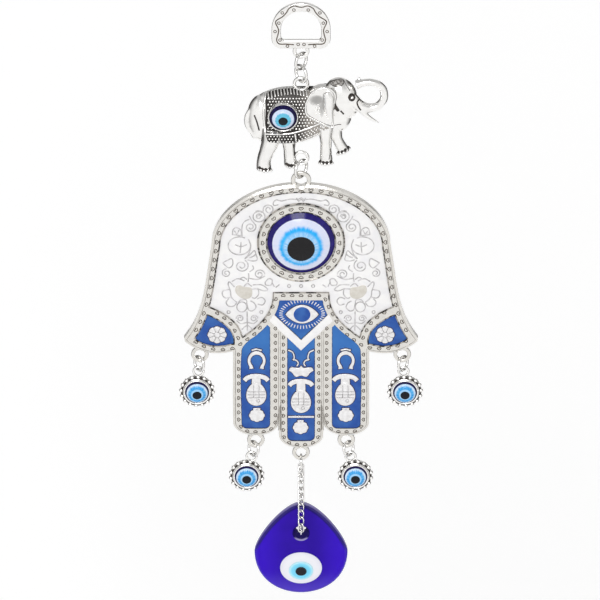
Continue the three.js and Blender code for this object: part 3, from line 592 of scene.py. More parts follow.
def on_elephant(px, py, proud=0.0):
    """The point of the elephant that shows at a pixel of the picture, brought forward by some millimetres."""
    x, z = shown_at(px, py, 0)
    hit, at, _, _ = elephant.ray_cast((Vector((x, 0, z)) + 40 * view_from) * mm, -view_from)
    spot = at / mm if hit else Vector((x, 0, z))
    return (spot.x, spot.y - proud, spot.z)


def traced(pixels, proud, steps=6):
    """A path over the elephant's surface through pixels of the picture."""
    return [on_elephant(px, py, proud) for px, py in spline_through(pixels, steps)]


# Oxidised grounds and lines of the elephant: the blanket and its fringe are blackened between their beads,
# and dark lines are left round the eye, in the mouth, between the toes and behind the legs. Two of the
# lines are painted shadow: one in the gap between the tail and the rump, one behind the ear's edge.
skin_proud = 0.06
skin_thickness = 0.1


def shell(name, points, edges, faces):
    """A mesh from its points in metres, its edges and its faces, picked."""
    mesh = bpy.data.meshes.new(name)
    mesh.from_pydata(points, edges, faces)
    return linked(name, mesh)


def skin(name, upper, lower, rows):
    """A thin skin on the elephant between two paths of pixels."""
    upper = spline_through(upper, 6)
    lower = spline_through(lower, 6)
    points = []
    for row in range(rows + 1):
        share = row / rows
        for (ux, uy), (lx, ly) in zip(upper, lower):
            spot = on_elephant(ux + share * (lx - ux), uy + share * (ly - uy), skin_proud)
            points.append(Vector(spot) * mm)
    wide = len(upper)
    faces = []
    for row in range(rows):
        for i in range(wide - 1):
            corner = row * wide + i
            faces.append((corner, corner + wide, corner + wide + 1, corner + 1))
    made = shell(name, points, [], faces)
    apply_modifier(made, "SOLIDIFY", thickness=skin_thickness * mm, offset=-1)
    return made


blanket_top = [(266, 93.5), (271, 90.4), (279, 87.6), (290, 86.6), (301, 88), (312, 93)]
blanket_border = [(265.6, 133.4), (274, 133.8), (284, 133.6), (294, 132.2), (307, 128.2), (322, 122)]
fringe_foot = [(268, 141.6), (275, 142.4), (284, 142.8), (296, 141.8), (310, 136), (329, 128)]
grounds = [
    skin("blanket_ground", blanket_top, blanket_border, 24),
    skin("fringe_ground", blanket_border, fringe_foot, 6),
]
oxide_and_shadow_paths = {
    0.3: [
        [(358.6, 99.6), (356.8, 102.4), (358, 106.6), (360.4, 110)],
        [(293.2, 144), (294.2, 149), (294.4, 155)],
        [(340.4, 111), (342, 112.4), (343.4, 114)],
        # Painted shadow in the gap between the tail and the rump.
        [(254.6, 115), (257.2, 122), (259.4, 130)],
    ],
    # Painted shadow behind the ear's edge.
    0.6: [[(333.4, 102.4), (335.4, 106.4), (338, 110.6)]],
    0.14: [
        [(343.2, 79.8), (346, 85.4), (349.6, 90.8)],
        [(334, 125.2), (337.6, 124.4), (341, 124.2)],
        [(262.4, 139), (260.6, 150), (258, 160)],
        [(331, 132.6), (331, 146), (328.8, 159)],
        [(332, 80.8), (330.8, 84.4), (337.6, 87.2), (343.2, 84), (341.8, 79.4), (337, 79.6), (332, 80.8)],
    ],
}
toe_rows = [
    [(259.4, 167.2), (264, 169.4), (270.8, 168.4)],
    [(286.6, 163.6), (290, 165.2), (296.4, 164.4)],
    [(319.8, 161), (325, 162.6), (331.6, 161.4)],
    [(338, 152.2), (343.6, 151), (348.6, 146.6)],
]
lines = [
    wires("oxide_line", [traced(path, 0) for path in paths], radius, sides=1)
    for radius, paths in oxide_and_shadow_paths.items()
]
eye_socket = skin(
    "eye_socket", [(347.6, 97.3), (349, 94.4), (351.5, 93.2), (354, 94.4), (355.3, 97.3)],
    [(347.6, 97.3), (349, 100.4), (351.5, 101.4), (354, 100.4), (355.3, 97.3)], 4)
bpy.ops.mesh.primitive_uv_sphere_add(segments=8, ring_count=5, radius=0.5 * mm)
bead_pattern = bpy.context.object


def beads(name, spots):
    """Small round beads at points of (x, y, z, share of the size), as one mesh."""
    count = len(bead_pattern.data.vertices)
    vertices = []
    faces = []
    for i, (x, y, z, share) in enumerate(spots):
        vertices += [share * vertex.co + Vector((x, y, z)) * mm for vertex in bead_pattern.data.vertices]
        faces += [[i * count + corner for corner in face.vertices] for face in bead_pattern.data.polygons]
    return shell(name, vertices, [], faces)


toe_gaps = []
beside_ring = (293, 310)
for path in toe_rows:
    for px, py in spline_through(path, 4)[1::2]:
        if not beside_ring[0] < px < beside_ring[1]:
            toe_gaps.append((*on_elephant(px, py - 0.2, -0.2), 1.5))
oxide_and_shadow_piece = join("elephant_oxide_and_shade", [*lines, eye_socket, beads("toe_gaps", toe_gaps)])
# This dark finish serves the oxide and the painted shadow lines alike.
oxide = two_tone(
    "oxide", 0.9, 0.35, 0.75, paint(30, 26, 24), paint(72, 64, 58), Metallic=0.3, Roughness=0.45)
settle(oxide_and_shadow_piece, oxide, "antique_silver", "elephant", crease=60)

blanket_oxide, shade = new_finish("blanket_oxide")
rubbed = 0.75 * shade.axis("X").step(-3 * mm, 5 * mm) + 0.5 * (shade.noise(0.9) - 0.5)
shade.surface(
    Base_Color=rubbed.step(0.0, 1.0).mix(paint(34, 30, 27), paint(176, 170, 163)),
    Metallic=0.4, Roughness=0.4)
settle(join("blanket_oxide", grounds), blanket_oxide, "antique_silver", "elephant", crease=60)

head_patch = skin(
    "head_patch", [(332.2, 81), (337, 79.8), (341.6, 79.6)],
    [(331.2, 84.2), (337.4, 86.8), (343, 83.8)], 4)
patch_grey = two_tone(
    "patch_grey", 0.7, 0.4, 0.6, paint(112, 107, 103), paint(208, 205, 201), Metallic=0.5, Roughness=0.35)
settle(head_patch, patch_grey, "antique_silver", "elephant", crease=60)

# Raised trim of the elephant: the ear with its fold, the blanket's border, beads and comb, the bezel of the
# flank's eye, toes and the two cast loops, all bright silver on the dark ground.
ear_front = -5.0
ear_back = -3.4
ear_pixels = [
    (306, 104), (305.6, 112), (308.6, 116.8), (318.6, 122.4), (327, 125.8), (333.4, 126.8), (331, 119.6),
    (330.8, 111.6), (334, 103), (334.8, 95.4), (331, 90.4), (325, 88.8), (317, 90.2), (310.6, 95),
]
ear_fold = (
    (326, 93, 1.6), (328.4, 99, 2.3), (328.6, 107, 2.3), (329.4, 115, 1.7), (332.4, 125, 0.6))
ear_fold_y = -3.9
ear_hollow = 0.85
ear_path = spline_through(ear_pixels + ear_pixels[:1], 4)[:-1]
ear_loop = [shown_at(px, py, ear_front) for px, py in ear_path]
ear_plate = slab("ear_plate", [ear_loop], ear_front + 0.4, ear_back, 0.3)
fold = []
for px, py, radius in ear_fold:
    x, z = shown_at(px, py, ear_front)
    fold.append((x, ear_fold_y, z - elephant_line, radius))
ear = join("ear", [ear_plate, limb("ear_fold", fold)])
melt(ear, 0.2)
hollow_x, hollow_z = shown_at(316.6, 105.4, ear_front)
for vertex in ear.data.vertices:
    away = math.hypot((vertex.co.x / mm - hollow_x) / 2.6, (vertex.co.z / mm - hollow_z) / 4.0)
    if vertex.co.y < (ear_front + 1.0) * mm:
        vertex.co.y += ear_hollow * mm * math.exp(-away * away)
apply_modifier(ear, "SMOOTH", factor=0.5, iterations=6)
ear_rim = wires("ear_rim", [at_depth(ear_loop, ear_front + 0.3)], 0.34, closed=True, sides=2)

border_paths = [
    traced([(266, 93), (263.8, 111), (265.6, 133.4)], 0.1),
    traced(blanket_border, 0.1),
    traced([(295, 133), (295.6, 137), (296, 141.8)], 0.1),
]
border = wires("blanket_border", border_paths, 0.4, sides=2)

flank_eye = (283, 118)
bead_step = 3.1
row_step = 3.0
fringe_step = 2.7
seam = 294
seam_rise = 0.36
blanket_rows, blanket_columns, blanket_end = 12, 17, 320
fringe_rows, fringe_columns, fringe_end = 3, 20, 328
blanket_corner = (268.4, 98.6)
fringe_start = 268
fringe_gap = 295.5


def beside_border(px, level):
    """The height in the picture of a line along the blanket's border, which rises beyond the seam."""
    return level if px < seam else level - seam_rise * (px - seam)


blanket_spots = []
for row in range(blanket_rows):
    for column in range(blanket_columns):
        px = blanket_corner[0] + bead_step * column + (bead_step / 2 if row % 2 else 0)
        py = blanket_corner[1] + row_step * row
        from_eye = math.hypot((px - flank_eye[0]) / 15.4, (py - flank_eye[1]) / 14.2)
        if from_eye > 1 and py < beside_border(px, 131.6) - 1 and px < blanket_end:
            blanket_spots.append((*on_elephant(px, py), 0.86))
for row in range(fringe_rows):
    for column in range(fringe_columns):
        px = fringe_start + bead_step * column + (bead_step / 2 if row % 2 else 0)
        deep = fringe_step * row * (1 if px < 300 else max(0.3, 1 - (px - 300) / 40))
        if px < fringe_end and abs(px - fringe_gap) > 2:
            blanket_spots.append((*on_elephant(px, beside_border(px, 134.6) + 1.4 + deep), 0.78))
for px, py in arc(*flank_eye, 14.8, 13.4, 0, 360, 30)[:-1]:
    if py < 130:
        blanket_spots.append((*on_elephant(px, py), 0.7))
for path in toe_rows:
    for px, py in spline_through(path, 2):
        blanket_spots.append((*on_elephant(px, py + 1.2, -0.2), 1.5))
blanket_spots.append((*on_elephant(351.9, 97.6, -0.1), 1.3))
blanket_beads = beads("blanket_beads", blanket_spots)

comb_paths = []
comb_teeth = 13
for tooth in range(comb_teeth):
    share = tooth / (comb_teeth - 1)
    px = 268 + 38 * share
    top = 92.6 - 6 * math.sin(math.pi * (0.08 + 0.72 * share))
    comb_paths.append(traced([(px, top), (px + 0.5, top + 4), (px + 1.2, top + 8)], 0.05, 3))
comb = wires("blanket_comb", comb_paths, 0.3, sides=2)

cast_loops = []
for z in (2.2, -28.6):
    ring = at_depth(circle(0, z + elephant_line, 2.5), 0)
    cast_loops.append(wires("elephant_loop", [ring], 0.6, closed=True, sides=5))


def turned(name, profile, steps=64):
    """A round piece turned about the line along Y through the origin: a profile of (radius, y)."""
    edges = [(i, i + 1) for i in range(len(profile) - 1)]
    made = shell(name, [(radius * mm, y * mm, 0) for radius, y in profile], edges, [])
    edit(bpy.ops.mesh.spin, steps=steps, angle=2 * math.pi, center=(0, 0, 0), axis=(0, 1, 0))
    clean()
    return made


def moved(piece, x, y, z):
    """The piece shifted in its mesh."""
    piece.data.transform(Matrix.Translation(Vector((x, y, z)) * mm))
    return piece


wall = 0.6
bezel_outer = small_eye / 2 + 0.1 + wall
bezel_profile = [
    (bezel_outer, 2.4), (bezel_outer, 0.35), (bezel_outer - 0.2, 0), (bezel_outer - wall + 0.15, 0.05),
    (bezel_outer - wall, 0.4), (bezel_outer - wall, 2.4), (bezel_outer, 2.4),
]
flank_bezel = moved(turned("flank_bezel", bezel_profile), bezel_x, bezel_face, bezel_z + elephant_line)
# Painted shade in the ear: the hollow left of the fold, and the slit beside it.
shadow_x, shadow_z = shown_at(317, 101.6, ear_front)
slit_shadow_x, slit_shadow_z = shown_at(321.6, 108, ear_front)
ear = join("elephant_ear", [ear, ear_rim])
ear_silver = polished(
    "ear_silver", (0.94, 0.93, 0.91, 1), paint(66, 62, 60), 0.6, gloss=0.12,
    shaded_hollows=((shadow_x, shadow_z, 3.4, 2.6, 0.6), (slit_shadow_x, slit_shadow_z, 1.2, 4.4, 0.5)))
settle(ear, ear_silver, "antique_silver", "elephant", crease=60)
trim = join("elephant_trim", [border, blanket_beads, comb, flank_bezel, *cast_loops])
settle(trim, antique_silver, "antique_silver", "elephant", crease=60)
bpy.data.objects.remove(bead_pattern)

# Eye cabochons: domes of glass with the rings of an eye fused into them, pupil a little low. One of 10 mm
# sits in the elephant's flank and in each of the four charms, and one of 25 mm in the palm.


def dome_profile(diameter, height, edge=0.5):
    """The turned profile of a cabochon with its flat base at y 0 and its dome to the front."""
    radius = diameter / 2
    rise = height - edge
    sphere = (radius * radius + rise * rise) / (2 * rise)
    sweep = math.asin(radius / sphere)
    dome = []
    for i in range(15):
        angle = sweep * (1 - i / 14)
        dome.append((sphere * math.sin(angle), -edge - sphere * (math.cos(angle) - math.cos(sweep))))
    return [(0, 0), (radius - 0.1, 0), (radius, -0.1)] + dome


def eye_finish(name, middle, rings, lower, unit):
    """Glass with rings round a point, each (share of the radius, softness, colour, streak colour)."""
    material, shade = new_finish(name)
    across, upwards = shade.axis("X"), shade.axis("Z")
    colour = rings[0][2]
    for i, (share, soft, tint, streak) in enumerate(rings):
        sunk = lower * i / (len(rings) - 1)
        x = (across - middle[0] * mm) * (1 / (unit * mm))
        z = (upwards - (middle[1] - sunk * unit) * mm) * (1 / (unit * mm))
        reach = shade.math("SQRT", x * x + z * z)
        turn = shade.math("ABSOLUTE", shade.math("ARCTAN2", x, z))
        fan = shade.node("ShaderNodeCombineXYZ", inputs={0: 9 * turn, 1: 2.5 * reach})
        rays = shade.node("ShaderNodeTexNoise", inputs={"Vector": fan, "Scale": 1.0, "Detail": 3})
        inside = 1 - (reach + 2 * soft * (rays - 0.5)).step(share - soft, share + soft)
        colour = inside.mix(colour, rays.step(0.42, 0.66).mix(tint, streak))
    shade.surface(Base_Color=colour, Roughness=0.12, Specular_IOR_Level=0.16)
    return material


flank_rings = [
    (1.2, 0.01, paint(22, 18, 62), paint(30, 24, 84)),
    (0.82, 0.015, paint(206, 224, 250), paint(226, 232, 252)),
    (0.6, 0.04, paint(98, 190, 226), paint(126, 208, 230)),
    (0.35, 0.015, paint(20, 26, 30), paint(32, 44, 50)),
]
small_eye_height = 2.8
flank_seat = -4.5
elephant_eye = turned("elephant_cabochon", dome_profile(small_eye, small_eye_height), 48)
moved(elephant_eye, bezel_x, flank_seat, bezel_z + elephant_line)
flank_eye_glass = eye_finish(
    "flank_eye_glass", (bezel_x, bezel_z + elephant_line), flank_rings, 0.12, small_eye / 2)
settle(elephant_eye, flank_eye_glass, "eye_glass", "elephant", "elephant_eye", crease=30)

# Hand plate: a flat zinc casting, silver plated, with a sloped outer lip, flat rims, sunk cells for the
# enamel, a raised bezel for the palm's eye and thin cast eyelets. The rims carry small cast marks.
palm_top = -71.7
plate_front = -1.5
plate_back = 1.5
cell_floor = -0.5
lip_width = 1.0
lip_drop = 0.5
palm_eye_z = palm_top - 23.9
bezel_radius = 16
palm_eye = 25
bezel_front = -2.1
enamel_front = -1.2
enamel_back = -0.6
cell_gap = 0.1


def rims_of(node, depth):
    """The edges of a CAD node's flat faces at a depth, as closed outlines of (x, z) in millimetres."""
    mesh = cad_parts[node].data
    sides = {}
    for face in mesh.polygons:
        corners = [mesh.vertices[i].co / mm for i in face.vertices]
        if max(abs(corner.y - depth) for corner in corners) < 0.01:
            points = [(round(corner.x, 2), round(corner.z, 2)) for corner in corners]
            for pair in zip(points, points[1:] + points[:1]):
                if pair[::-1] in sides:
                    del sides[pair[::-1]]
                else:
                    sides[pair] = True
    after = dict(sides.keys())
    found = []
    while after:
        point = next(iter(after))
        loop = []
        while point in after:
            loop.append(point)
            point = after.pop(point)
        found.append(tidy(loop))
    return sorted(found, key=lambda loop: min(x for x, _ in loop))


def smoothed(loop, steps=5, sharp=35):
    """An outline with more points on its curves and its sharp corners kept."""
    count = len(loop)
    tangents = []
    for i in range(count):
        before, here, after = (Vector(loop[j % count]) for j in (i - 1, i, i + 1))
        corner = (here - before).angle(after - here) > math.radians(sharp)
        tangents.append(None if corner else (after - before).normalized())
    points = []
    for i in range(count):
        start, end = Vector(loop[i]), Vector(loop[(i + 1) % count])
        run = end - start
        leave = (tangents[i] or run.normalized()) * run.length
        arrive = (tangents[(i + 1) % count] or run.normalized()) * run.length
        for k in range(steps):
            t = k / steps
            points.append(tuple(
                start + t * t * (3 - 2 * t) * run + t * (1 - t) ** 2 * leave - t * t * (1 - t) * arrive))
    return points


def inset(loop, distance):
    """An outline moved inwards by a distance. Edges that are used up are dropped."""
    area = sum(ax * bz - bx * az for (ax, az), (bx, bz) in zip(loop, loop[1:] + loop[:1]))
    side = distance if area > 0 else -distance
    edges = []
    for a, b in zip(loop, loop[1:] + loop[:1]):
        run = (Vector(b) - Vector(a)).normalized()
        edges.append((Vector((a[0] - side * run.y, a[1] + side * run.x)), run))
    while len(edges) > 3:
        corners = []
        for (start, run), (later, turn) in zip(edges[-1:] + edges[:-1], edges):
            cross = run.x * turn.y - run.y * turn.x
            gap = later - start
            reach = (gap.x * turn.y - gap.y * turn.x) / cross if abs(cross) > 0.02 else None
            corners.append(later if reach is None else start + reach * run)
        lengths = [(corners[(i + 1) % len(edges)] - corners[i]).dot(edges[i][1]) for i in range(len(edges))]
        worst = min(range(len(edges)), key=lengths.__getitem__)
        if lengths[worst] > 0:
            break
        edges.pop(worst)
    return [tuple(corner) for corner in corners]


outline = smoothed(max(rims_of("hamsa_plate", plate_back), key=len))
inner_lip = inset(outline, lip_width)
enamels = {
    "palm_enamel": "white", "chevron_enamel": "white", "eye_panel_enamel": "blue",
    "thumb_enamel_left": "blue", "thumb_enamel_right": "blue",
    "finger_enamel_left": "blue", "finger_enamel_middle": "blue", "finger_enamel_right": "blue",
}
enamel_rims = {node: rims_of(node, enamel_front) for node in enamels}
# The V is narrower in the picture than its solid, so its lower edge and the blue below it lie higher here.
vee_raise = 2.45
vee_half = [(10.19, palm_top - 54.93), (11.25, palm_top - 56.77)]
vee_left = [(-x, z) for x, z in vee_half[::-1]]
vee_tip = (0, palm_top - 71.04 + vee_raise)
enamel_rims["chevron_enamel"] = [[(0, palm_top - 65.62), *vee_half, vee_tip, *vee_left]]
enamel_rims["finger_enamel_middle"] = [
    [(x, z + vee_raise if z > palm_top - 73 else z) for x, z in loop]
    for loop in enamel_rims["finger_enamel_middle"]]
enamel_loops = {node: [smoothed(loop) for loop in loops] for node, loops in enamel_rims.items()}
cell_loops = []
for node, found in enamel_loops.items():
    for loop in found:
        is_hole = node == "palm_enamel" and len(found) > 1 and max(z for _, z in loop) < palm_top - 8
        is_hole = is_hole and max(x for x, _ in loop) < bezel_radius + 1
        cell_loops.append(inset(loop, cell_gap if is_hole else -cell_gap))


def bridged(name, outer, inner, outer_depth, inner_depth):
    """A sloping strip between two outlines at different depths."""
    points = [(x * mm, outer_depth * mm, z * mm) for x, z in outer]
    points += [(x * mm, inner_depth * mm, z * mm) for x, z in inner]
    edges = [(i, (i + 1) % len(outer)) for i in range(len(outer))]
    edges += [(len(outer) + i, len(outer) + (i + 1) % len(inner)) for i in range(len(inner))]
    made = shell(name, points, edges, [])
    edit(bpy.ops.mesh.bridge_edge_loops)
    edit(bpy.ops.mesh.normals_make_consistent, inside=False)
    return made


lip = bridged("plate_lip", outline, inner_lip, plate_front + lip_drop, plate_front)
face = slab("plate_face", [inner_lip, *cell_loops], plate_front, plate_front)
base = slab("plate_body", [outline], plate_front + lip_drop, plate_back)
walls = [slab("cell_wall", [inset(loop, -0.05), loop], plate_front, cell_floor) for loop in cell_loops]
bezel_turn = [
    (bezel_radius, 1.0), (bezel_radius, -1.75), (bezel_radius - 0.35, bezel_front),
    (palm_eye / 2 + 0.45, bezel_front), (palm_eye / 2 + 0.1, -1.8), (palm_eye / 2 + 0.1, 1.0),
    (bezel_radius, 1.0),
]
palm_bezel = moved(turned("palm_bezel", bezel_turn, 96), 0, 0, palm_eye_z)
small_eyelet = (3.8, 1.4)
eyelets = [eyelet(0, palm_top + 1.4, 4.4, 1.6), eyelet(0, -184.6, *small_eyelet)]
for side in (-1, 1):
    eyelets.append(eyelet(side * 38, -143.26, *small_eyelet))
    eyelets.append(eyelet(side * 17, -179.3, *small_eyelet))
plate = join("hand_plate", [base, lip, face, *walls, palm_bezel, *eyelets])
silver = polished("silver", (0.765, 0.745, 0.705, 1), paint(96, 88, 80), 0.45)
settle(plate, silver, "silver", "hamsa", "hamsa_plate", crease=35)

plate_middle = 300.5
mark_inset = 2.05
outer_marks = 43
bezel_marks = 24
finger_pitch = 2.9
finger_corner = 4.5


def on_plate(pixels):
    """A path on the hand plate from its pixels in the picture."""
    return [((px - plate_middle) * pixel, shown_at(px, py, plate_front)[1]) for px, py in pixels]


mark_paths = []


def mark(x, z, dx, dz, depth, size=1.0):
    """A rim mark: a small heart, its point towards the left of the direction given."""
    left = [(0, -0.5), (-0.6, -0.1), (-0.85, 0.35), (-0.55, 0.7), (-0.15, 0.6), (0, 0.3)]
    heart = left + [(-px, pz) for px, pz in left[-2::-1]]
    mark_paths.append([
        (x - size * (px * dx - pz * dz), depth, z - size * (px * dz + pz * dx)) for px, pz in heart])


rim_line = [p for p in inset(outline, mark_inset) if p[1] > palm_top - 61]
start = min(range(len(rim_line)), key=lambda i: (rim_line[i][0] > 0, rim_line[i][1]))
rim_line = rim_line[start:] + rim_line[:start]
for x, z, dx, dz in along(rim_line, outer_marks):
    mark(x, z, -dx, -dz, plate_front)
bezel_line = circle(0, palm_eye_z, (bezel_radius + palm_eye / 2) / 2, 96)
for spot in along(bezel_line, bezel_marks, closed=True):
    mark(*spot, bezel_front)
band_line = [
    (275.7, 298.1), (272.4, 306), (268.7, 312.7), (265, 319.7), (260, 326.3), (254.2, 333), (247.1, 338.4),
    (240, 343.3),
]
thumb_line = [(216.9, 311.8), (224.3, 316.8), (230.6, 322.6), (234.3, 328.8), (238, 336.7)]
heel_line = [(195.3, 340.6), (203.6, 345), (212.7, 347.5), (222.7, 347.9), (231.8, 347)]
for pixels, count in ((band_line, 8), (thumb_line, 5), (heel_line, 5)):
    for side in (1, -1):
        for spot in along([(side * x, z) for x, z in on_plate(pixels)], count):
            mark(*spot, plate_front, 0.9)
for spot in along(on_plate([(282.7, 294), (318.3, 294)]), 5):
    mark(*spot, plate_front, 0.9)
mark_columns = (
    (-23.3, -9.8, 71, 60, 103.4), (-6.5, 6.5, 63.8, 63.8, 108.8), (9.8, 23.3, 60, 71, 103.4))
for left, right, left_top, right_top, bottom in mark_columns:
    lower = palm_top - bottom + finger_corner
    round_end = arc(left + finger_corner, lower, finger_corner, finger_corner, 180, 270, 6)
    round_end += arc(right - finger_corner, lower, finger_corner, finger_corner, 270, 360, 6)
    path = [(left, palm_top - left_top), *round_end, (right, palm_top - right_top)]
    count = round(sum(math.dist(a, b) for a, b in zip(path, path[1:])) / finger_pitch)
    for spot in along(path, count):
        mark(*spot, plate_front, 0.85)
rim_marks = wires("rim_marks", mark_paths, 0.17, closed=True, sides=0)
settle(rim_marks, antiquing, "antique_silver", "hamsa", crease=80)

# Antiqued lines: the dark left in the corner between the rims and the enamel, and in the joints between
# the fingers and along the bezel. It is worn away in places. At the rims and the bezel the dark is also
# painted shade, where the walls of the cells and of the bezel shade their corners.
worn_antique_and_shade_line, shade = new_finish("worn_antique_and_shade_line")
rubbed = shade.noise(1.9, 2).step(0.43, 0.54)
shade.surface(
    Base_Color=rubbed.mix(paint(40, 35, 31), paint(200, 195, 188)), Metallic=0.3 + 0.6 * rubbed,
    Roughness=0.4)
# Painted shade with the antiquing: dark lines round the palm, the thumbs and both edges of the bezel.
edged = ("palm_enamel", "thumb_enamel_left", "thumb_enamel_right")
edge_loops = [inset(loop, -0.15) for node in edged for loop in enamel_loops[node]]
edge_loops.append(circle(0, palm_eye_z, bezel_radius + 0.1, 96))
line_paths = [at_depth(loop, plate_front) for loop in edge_loops]
line_paths.append(at_depth(circle(0, palm_eye_z, palm_eye / 2 + 0.5, 96), bezel_front + 0.02))
dark_lines = wires("dark_lines", line_paths, 0.27, closed=True, sides=0)
settle(dark_lines, worn_antique_and_shade_line, "antique_silver", "hamsa", crease=80)

lip_line = wires("lip_line", [at_depth(inner_lip, plate_front + 0.06)], 0.14, closed=True, sides=0)
splits = []
for x in (-7.8, -8.5, 7.8, 8.5):
    splits.append([(x, plate_front, palm_top - 61.4), (x, plate_front, palm_top - 103)])
faint_lines = join("faint_lines", [lip_line, wires("split_lines", splits, 0.09, sides=0)])
faint_line = two_tone(
    "faint_line", 2.0, 0.35, 0.7, paint(138, 132, 124), paint(196, 191, 184), Metallic=0.5, Roughness=0.35)
settle(faint_lines, faint_line, "antique_silver", "hamsa", crease=80)

# Enamel: glassy white in the palm and the V, glassy blue in the other cells, poured a little below the
# rims. Only the V is full and covers its rims. The blue is lighter where it is thin, at the fingers' tops.
white_enamel, shade = new_finish("white_enamel")
mottle = shade.noise(3.5).step(0.3, 0.75)
shade.surface(
    Base_Color=mottle.mix(paint(250, 249, 248), paint(242, 241, 243)),
    Roughness=0.2 + 0.08 * shade.noise(1.2), Specular_IOR_Level=0.3,
    Normal=shade.bump(shade.noise(1.6, 2), 0.02))

blue_enamel, shade = new_finish("blue_enamel")
height = shade.axis("Z")
sideways = shade.math("ABSOLUTE", shade.axis("X"))
thin = height.step((palm_top - 80) * mm, (palm_top - 66) * mm) * (1 - sideways.step(25 * mm, 27 * mm))
panel = height.step((palm_top - 66) * mm, (palm_top - 56) * mm) * (1 - sideways.step(10 * mm, 12 * mm))
pool = shade.noise(5.0, 2).step(0.3, 0.75)
deep_blue = pool.mix(paint(46, 84, 163), paint(60, 105, 178))
shade.surface(
    Base_Color=(0.6 * thin * (1 - panel)).mix(deep_blue, paint(68, 132, 202)),
    Roughness=0.14 + 0.06 * shade.noise(1.5), Specular_IOR_Level=0.15,
    Normal=shade.bump(shade.noise(2.0, 2), 0.02))


def span(loop):
    """How wide an outline is."""
    return max(x for x, _ in loop) - min(x for x, _ in loop)


vee_overlap = 0.5
vee_front = plate_front - 0.04
for node, colour in enamels.items():
    loops = sorted(enamel_loops[node], key=span, reverse=True)
    front = enamel_front
    if node == "chevron_enamel":
        loops = [inset(loops[0], -vee_overlap)]
        front = vee_front
    poured = slab(f"{node}_fill", loops, front, enamel_back, 0.12, 1)
    finish = white_enamel if colour == "white" else blue_enamel
    settle(poured, finish, f"{colour}_enamel", "hamsa", node, crease=50)

# Palm scrolls: thin cast ridges that stand in the white enamel and show through it as grey lines: spirals,
# leaves and a blossom on each side of the eye.
scroll_curves = [
    [(277.8, 204), (273.7, 204.8), (272.8, 202.3), (275.7, 199.4), (281, 200.3), (289.4, 198.6),
     (297, 198.8), (300.5, 197)],
    [(296, 197.4), (298, 200.4), (300.5, 198.6)],
    [(249, 218.6), (244, 221), (241.6, 226), (241.7, 235.5)],
    [(231.8, 233.8), (233, 228.4), (236.4, 226.8), (240.5, 229.7), (240.4, 234.7), (236, 234.2),
     (231.8, 233.8)],
    [(234, 230), (236.4, 233), (238.6, 229.4)],
    [(248, 238.6), (250.2, 245), (248.4, 252.6), (244.2, 257.9)],
    [(240.5, 241.3), (240.4, 246), (239.7, 252)],
    [(234.7, 243.8), (240.2, 245.8), (246.3, 243.8)],
    [(244.7, 257.9), (249.6, 253.7), (253.8, 249.8), (255.4, 253.2), (256.7, 258.7), (252.6, 260.2),
     (247, 259)],
    [(249, 257), (252.6, 255.6), (255.2, 253.4)],
    [(222.3, 262), (226.5, 259.6), (231.4, 257.9), (232.2, 263.7), (228.2, 267), (222.3, 262)],
    [(252, 264.5), (253, 267.8), (249, 271)],
    [(248.8, 277.4), (257, 278.4), (264.5, 275)],
    [(248, 272.4), (248.2, 276), (247.5, 281)],
    [(239.8, 277.6), (243, 276.4), (246.4, 278.6)],
    [(264.5, 281.6), (267.9, 277.8), (271.6, 279), (270.4, 284), (265.4, 284), (264.5, 281.6)],
    [(271.6, 281.6), (273.7, 285.7)],
    [(275.3, 286.5), (279, 283.6)],
    [(231.4, 280.7), (237.2, 277.8), (243.8, 279.9)],
    [(234, 286), (229, 281), (227.6, 283.4), (229.7, 289.9), (231, 296.5), (236.4, 301.5)],
    [(229.5, 288.6), (222.7, 289.9), (221.9, 294), (224.8, 297), (229.7, 296.5)],
    [(228.1, 297.7), (225.6, 301.5), (228.1, 305.2), (233, 305.2), (236, 302.3)],
    [(238, 301.4), (240.5, 299), (245.5, 299), (246.3, 303)],
    [(246.3, 302.3), (248, 308.9), (252.1, 309.8), (255.4, 306.5), (253.8, 302.3), (250, 300)],
    [(257.1, 303.1), (262.1, 304), (264.6, 299.8), (261.2, 296.5), (256.3, 298.1)],
    [(251.3, 288.2), (257.1, 288.2), (258, 293.2), (254.6, 297.3), (251.3, 296.5)],
    [(243.4, 285.4), (247, 282.6), (251.3, 285.6)],
    [(252.1, 284), (261.2, 284), (267.1, 288.6), (262.9, 289.8), (256.3, 287.4)],
    [(246.5, 310.6), (246.6, 320), (246.7, 329.7)],
    [(236, 319.5), (240, 322.6), (246.7, 321.6), (253, 322.6), (257, 319.5)],
    [(241.3, 328.8), (244, 326), (246.7, 324.7), (249.4, 326), (251.7, 328.8)],
]
scroll_spirals = [
    (268.2, 208.8, 5.8, 200, -1.55), (258.3, 215.8, 6.4, 120, -1.2, 0.85), (258.3, 215.8, 3.2, 0, 1.5, 0.3),
    (241, 265, 7.2, 60, -1.6), (226, 272.2, 4.8, 90, 1.5), (258.9, 273.4, 5.4, 0, 1.5),
    (239.4, 317.6, 4.0, 180, -1.4), (253.4, 317.6, 4.0, 0, 1.4),
]
scroll_dots = [(228, 311.2), (260.8, 311.2), (288.5, 285.1)]
dot_radius = 1.5


def spiral(px, py, radius, start, turns, inner=0.25):
    """A spiral in pixels, from its outer end inwards. A negative turn runs the other way."""
    points = []
    steps = int(18 * abs(turns))
    for i in range(steps + 1):
        share = i / steps
        angle = math.radians(start) + 2 * math.pi * turns * share
        reach = radius * (1 - (1 - inner) * share)
        points.append((px + reach * math.cos(angle), py - 0.9 * reach * math.sin(angle)))
    return points


